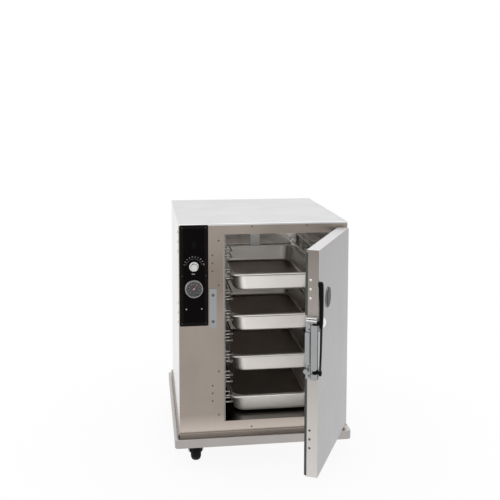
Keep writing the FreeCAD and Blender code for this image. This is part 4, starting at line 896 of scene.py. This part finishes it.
heat_place = on_panel("knob") + FRONT * PRINT_OUT
heat_arc = {"start": math.radians(168), "sweep": math.radians(-155)}
bars_of(
    "heat_scale_bars", heat_place, INK, count=19, radius=26 * MM, length=2.0 * MM, width=BAR_WIDTH,
    **heat_arc,
)
numbers_of(
    "heat_scale_numbers", heat_place, INK, numbers=range(1, 11), reach=33 * MM, size=7.0 * MM, **heat_arc,
)
bars_of(
    "heat_zero", heat_place, INK, count=3, radius=26 * MM, length=3.2 * MM, width=2.6 * MM,
    start=math.radians(257), sweep=math.radians(16),
)
dial_middle = on_panel("thermometer_case")
dial_plate = dial_middle + FRONT * DIAL_OUT
dial_profile = [
    (DIAL_HOLE, 0), (DIAL_HOLE, DIAL_THICK), (DIAL_FLAT, DIAL_THICK), (DIAL_RADIUS, 0), (DIAL_HOLE, 0),
]
fit(lathe("dial_plate", dial_profile, dial_plate, FRONT, DIAL), "cabinet", "control_plastic")
dial_place = dial_plate + FRONT * (DIAL_THICK + PRINT_OUT)
dial_arc = {"start": math.radians(225), "sweep": math.radians(-270)}
bars_of(
    "dial_scale_bars", dial_place, DIAL_INK, count=37, radius=22.6 * MM, length=3.0 * MM, width=BAR_WIDTH,
    **dial_arc,
)
numbers_of(
    "dial_scale_numbers", dial_place, DIAL_INK, numbers=range(20, 101, 10), reach=16.6 * MM, size=4.6 * MM,
    **dial_arc,
)
needle_front = Vector((dial_middle.x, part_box("thermometer_needle")[0].y, dial_middle.z))
fit(lathe("needle_cap", CAP_PROFILE, needle_front, FRONT, CHROME, CAP_STEPS), "needle", "bright_metal")


# Band round the control panel

BAND_INSET = Vector((1.6 * MM, 0, 1.6 * MM))
BAND_WIDTH = 10.5 * MM
BAND_THICK = 0.1 * MM


def make_band(name, low, high):
    """Raised line round a rectangle in the panel's face."""
    made = bmesh.new()
    front = PANEL_FACE - BAND_THICK
    for left in (low.x, high.x - BAND_WIDTH):
        add_block(made, Vector((left, front, low.z)), Vector((left + BAND_WIDTH, PANEL_FACE, high.z)))
    for foot in (low.z, high.z - BAND_WIDTH):
        add_block(
            made,
            Vector((low.x + BAND_WIDTH, front, foot)),
            Vector((high.x - BAND_WIDTH, PANEL_FACE, foot + BAND_WIDTH)),
        )
    fit(plain_object(name, mesh_of(name, made), PANEL_EDGE), "cabinet", "control_plastic")


make_band("panel_band", PANEL_LOW + BAND_INSET, PANEL_HIGH - BAND_INSET)


# Door and latch

HINGE = Vector(JOINTS["door_hinge"]["pos_m"])
SWING = Matrix.Translation(HINGE) @ Matrix.Rotation(DOOR_OPEN, 4, "Z") @ Matrix.Translation(-HINGE)
SHUT = SWING.inverted()


def shut_points(name):
    """Corners of a CAD node of the door, with the door shut."""
    return [SHUT @ vertex.co for vertex in nodes[name].data.vertices]


def shut_box(name):
    """Lowest and highest corner of a CAD node of the door, with the door shut."""
    points = shut_points(name)
    return tuple(Vector([pick(co[axis] for co in points) for axis in range(3)]) for pick in (min, max))


def fit_bar(name, low, high, material, edge, slot):
    """Bar on the door from two corners with the door shut, with softened edges."""
    made = bmesh.new()
    add_block(made, Vector(low), Vector(high))
    soften(made, edge)
    made.transform(SWING)
    fit(plain_object(name, mesh_of(name, made), material), "door", slot)


DOOR_LOW, DOOR_HIGH = shut_box("door_outer")
LATCH_LOW, LATCH_HIGH = shut_box("latch_base")
MAGNET_LOW, MAGNET_HIGH = shut_box("latch_magnet")
GASKET_LOW, GASKET_HIGH = shut_box("door_gasket")

# A plain disc in a bright rim stands on the door's face.
MEDALLION_IN = 114.5 * MM
MEDALLION_DROP = 163.5 * MM
RIM_OUTER = 32 * MM
RIM_CREST = 31.2 * MM
RIM_INNER = 30.4 * MM
RIM_WALL = 1.8 * MM
RIM_HEIGHT = 2.4 * MM
DISC_WALL = 1.6 * MM
DISC_SHOULDER = (14 * MM, 2.3 * MM)
DISC_STEPS = 64
medallion = SWING @ Vector((DOOR_LOW.x + MEDALLION_IN, DOOR_LOW.y, DOOR_HIGH.z - MEDALLION_DROP))
rim_profile = [
    (RIM_OUTER, 0), (RIM_OUTER, RIM_WALL), (RIM_CREST, RIM_HEIGHT), (RIM_INNER, RIM_WALL), (RIM_INNER, 0),
    (RIM_OUTER, 0),
]
disc_profile = [(0, 0), (RIM_INNER, 0), (RIM_INNER, DISC_WALL), DISC_SHOULDER, (0, RIM_HEIGHT)]
for name, profile, finish in (
    ("medallion_rim", rim_profile, SATIN_STEEL),
    ("medallion_face", disc_profile, MEDALLION),
):
    fit(lathe(name, profile, medallion, DOOR_OUT, finish, DISC_STEPS), "door", "plain_steel")

# Two bright plates wrap the latch's upper lug. Each is given by its ends above the latch's top.
LUG_PLATES = {"lug_upper_plate": (-1.0 * MM, 2.4 * MM), "lug_lower_plate": (-8.0 * MM, -4.0 * MM)}
LUG_LENGTH = 17.6 * MM
LUG_FRONT_IN = 1.6 * MM
LUG_BACK_IN = 4.4 * MM
PLATE_PROUD = 0.6 * MM
PLATE_EDGE = 0.5 * MM
for name, (foot, head) in LUG_PLATES.items():
    fit_bar(
        name,
        (LATCH_LOW.x - PLATE_PROUD, DOOR_LOW.y + LUG_FRONT_IN, LATCH_HIGH.z + foot),
        (LATCH_LOW.x + LUG_LENGTH, DOOR_HIGH.y - LUG_BACK_IN, LATCH_HIGH.z + head),
        CHROME, PLATE_EDGE, "bright_metal",
    )

# A rubber strip closes the gap along the door's free edge, above and below the latch.
STRIP_PROUD = 0.35 * MM
STRIP_WRAP = 4.4 * MM
STRIP_THICK = 3.1 * MM
STRIP_WIDTH = 9.0 * MM
STRIP_EDGE = 0.3 * MM
LATCH_ROOM = 1.0 * MM
latch_top = LATCH_HIGH.z + LUG_PLATES["lug_upper_plate"][1]
for name, foot, head in (
    ("upper_edge_strip", latch_top + LATCH_ROOM, GASKET_HIGH.z),
    ("lower_edge_strip", GASKET_LOW.z, LATCH_LOW.z - LATCH_ROOM),
):
    fit_bar(
        name,
        (DOOR_LOW.x - STRIP_PROUD, DOOR_HIGH.y - STRIP_WRAP, foot),
        (DOOR_LOW.x + STRIP_WIDTH, DOOR_HIGH.y + STRIP_THICK, head),
        RUBBER, STRIP_EDGE, "gasket_rubber",
    )

# A black bar stands in for the shade in the seam that runs down the latch's plate beside the magnet.
SEAM_PROUD = 0.4 * MM
SEAM_NEAR = 2.4 * MM
SEAM_FAR = 0.8 * MM
SEAM_EDGE = 0.1 * MM
SEAM_FOOT = 2 * MM
SEAM_DROP = 14 * MM
fit_bar(
    "latch_seam",
    (MAGNET_HIGH.x - SEAM_PROUD, MAGNET_LOW.y - SEAM_NEAR, LATCH_LOW.z + SEAM_FOOT),
    (MAGNET_HIGH.x, MAGNET_LOW.y - SEAM_FAR, LATCH_HIGH.z - SEAM_DROP),
    BLACK, SEAM_EDGE, "handle_black",
)

# A bright cap covers the latch's domed boss, whose top is the latch's foremost point.
BOSS_TOP = min(shut_points("latch_base"), key=lambda co: co.y)
BOSS_RADIUS = 17.2 * MM
BOSS_HEIGHT = 12.2 * MM
CAP_PROUD = 0.2 * MM
ARC_PARTS = 8
dome_radius = (BOSS_RADIUS ** 2 + BOSS_HEIGHT ** 2) / (2 * BOSS_HEIGHT)
dome_angle = math.asin(BOSS_RADIUS / dome_radius)
boss_profile = []
for step in range(ARC_PARTS + 1):
    angle = dome_angle * step / ARC_PARTS
    drop = dome_radius * (1 - math.cos(angle))
    boss_profile.append((dome_radius * math.sin(angle), BOSS_HEIGHT - drop))
boss_profile.append((0, 0))
boss_foot = SWING @ (BOSS_TOP + Vector((0, BOSS_HEIGHT - CAP_PROUD, 0)))
fit(lathe("boss_cap", boss_profile, boss_foot, DOOR_OUT, CHROME), "door", "bright_metal")


# Studio

FLOOR_SIZE = 30
FLOOR_WHITE = (0.9, 0.9, 0.9)
FLOOR_ROUGHNESS = 0.9
# The floor's own shadow shows within the first distance from its middle and is gone at the second.
SHADOW_NEAR = 0.35
SHADOW_FAR = 1.1
GLOW_NEAR = 0.92
ROOM_LIGHT = (0.62, 0.62, 0.63, 1)
ROOM_WHITE = (1, 1, 1, 1)


def seen_directly(tree):
    """1 for rays from the camera, from metal and through glass, else 0."""
    path = tree.nodes.new("ShaderNodeLightPath")
    first = tree.nodes.new("ShaderNodeMath")
    first.operation = "MAXIMUM"
    second = tree.nodes.new("ShaderNodeMath")
    second.operation = "MAXIMUM"
    tree.links.new(path.outputs["Is Camera Ray"], first.inputs[0])
    tree.links.new(path.outputs["Is Glossy Ray"], first.inputs[1])
    tree.links.new(first.outputs[0], second.inputs[0])
    tree.links.new(path.outputs["Is Transmission Ray"], second.inputs[1])
    return second.outputs[0]


def make_floor():
    """White floor that keeps a soft shadow under the cabinet and is plain white away from it."""
    bpy.ops.mesh.primitive_plane_add(size=FLOOR_SIZE)
    floor = bpy.context.object
    floor.name = "studio_floor"
    material, tree, shader = finish_of("studio_white", FLOOR_WHITE, FLOOR_ROUGHNESS)
    tree.nodes.remove(shader)
    paper = tree.nodes.new("ShaderNodeBsdfDiffuse")
    paper.inputs["Color"].default_value = (*FLOOR_WHITE, 1)
    glow = tree.nodes.new("ShaderNodeEmission")
    away = tree.nodes.new("ShaderNodeVectorMath")
    away.operation = "LENGTH"
    fade = tree.nodes.new("ShaderNodeMapRange")
    fade.inputs["From Min"].default_value = SHADOW_NEAR
    fade.inputs["From Max"].default_value = SHADOW_FAR
    fade.inputs["To Min"].default_value = GLOW_NEAR
    fade.inputs["To Max"].default_value = 1.0
    mix = tree.nodes.new("ShaderNodeMixShader")
    tree.links.new(own_place(tree), away.inputs[0])
    tree.links.new(away.outputs["Value"], fade.inputs["Value"])
    tree.links.new(both(tree, seen_directly(tree), fade.outputs["Result"]), mix.inputs[0])
    tree.links.new(paper.outputs[0], mix.inputs[1])
    tree.links.new(glow.outputs[0], mix.inputs[2])
    tree.links.new(mix.outputs[0], tree.nodes["Material Output"].inputs["Surface"])
    floor.data.materials.append(material)


def make_world():
    """Soft white room."""
    world = bpy.data.worlds.new("studio")
    scene.world = world
    world.use_nodes = True
    tree = world.node_tree
    lit = tree.nodes["Background"]
    lit.inputs["Color"].default_value = ROOM_LIGHT
    seen = tree.nodes.new("ShaderNodeBackground")
    seen.inputs["Color"].default_value = ROOM_WHITE
    mix = tree.nodes.new("ShaderNodeMixShader")
    tree.links.new(seen_directly(tree), mix.inputs[0])
    tree.links.new(lit.outputs[0], mix.inputs[1])
    tree.links.new(seen.outputs[0], mix.inputs[2])
    tree.links.new(mix.outputs[0], tree.nodes["World Output"].inputs["Surface"])


def add_lamp(name, place, target, size, watts):
    light = bpy.data.lights.new(name, "AREA")
    light.size = size
    light.energy = watts
    lamp = bpy.data.objects.new(name, light)
    lamp.location = place
    lamp.rotation_euler = (Vector(target) - Vector(place)).to_track_quat("-Z", "Y").to_euler()
    scene.collection.objects.link(lamp)


# Camera, fitted to the photograph: lens in millimetres, place in metres, turns in radians

SENSOR_WIDTH = 36.0
FOCAL_LENGTH = 55.934
LENS_SHIFT = -0.16
CAMERA_PLACE = (-0.4001, -2.8751, 1.2569)
CAMERA_YAW = 0.1364
CAMERA_PITCH = 0.0914
CAMERA_ROLL = 0.0016


def aim_camera():
    lens = bpy.data.cameras.new("photo_camera")
    lens.sensor_width = SENSOR_WIDTH
    lens.lens = FOCAL_LENGTH
    lens.shift_y = LENS_SHIFT
    level = math.cos(CAMERA_PITCH)
    ahead = Vector((math.sin(CAMERA_YAW) * level, math.cos(CAMERA_YAW) * level, -math.sin(CAMERA_PITCH)))
    turn = ahead.to_track_quat("-Z", "Y").to_matrix().to_4x4()
    camera = bpy.data.objects.new("photo_camera", lens)
    camera.matrix_world = Matrix.Translation(CAMERA_PLACE) @ turn @ Matrix.Rotation(CAMERA_ROLL, 4, "Z")
    scene.collection.objects.link(camera)
    scene.camera = camera


make_floor()
make_world()
add_lamp("left_softbox", place=(-2.6, 0.4, 1.8), target=(0, 0, 0.5), size=1.6, watts=14)
add_lamp("top_softbox", place=(0.3, 0.4, 3.0), target=(0, 0, 0.8), size=2.0, watts=16)
aim_camera()
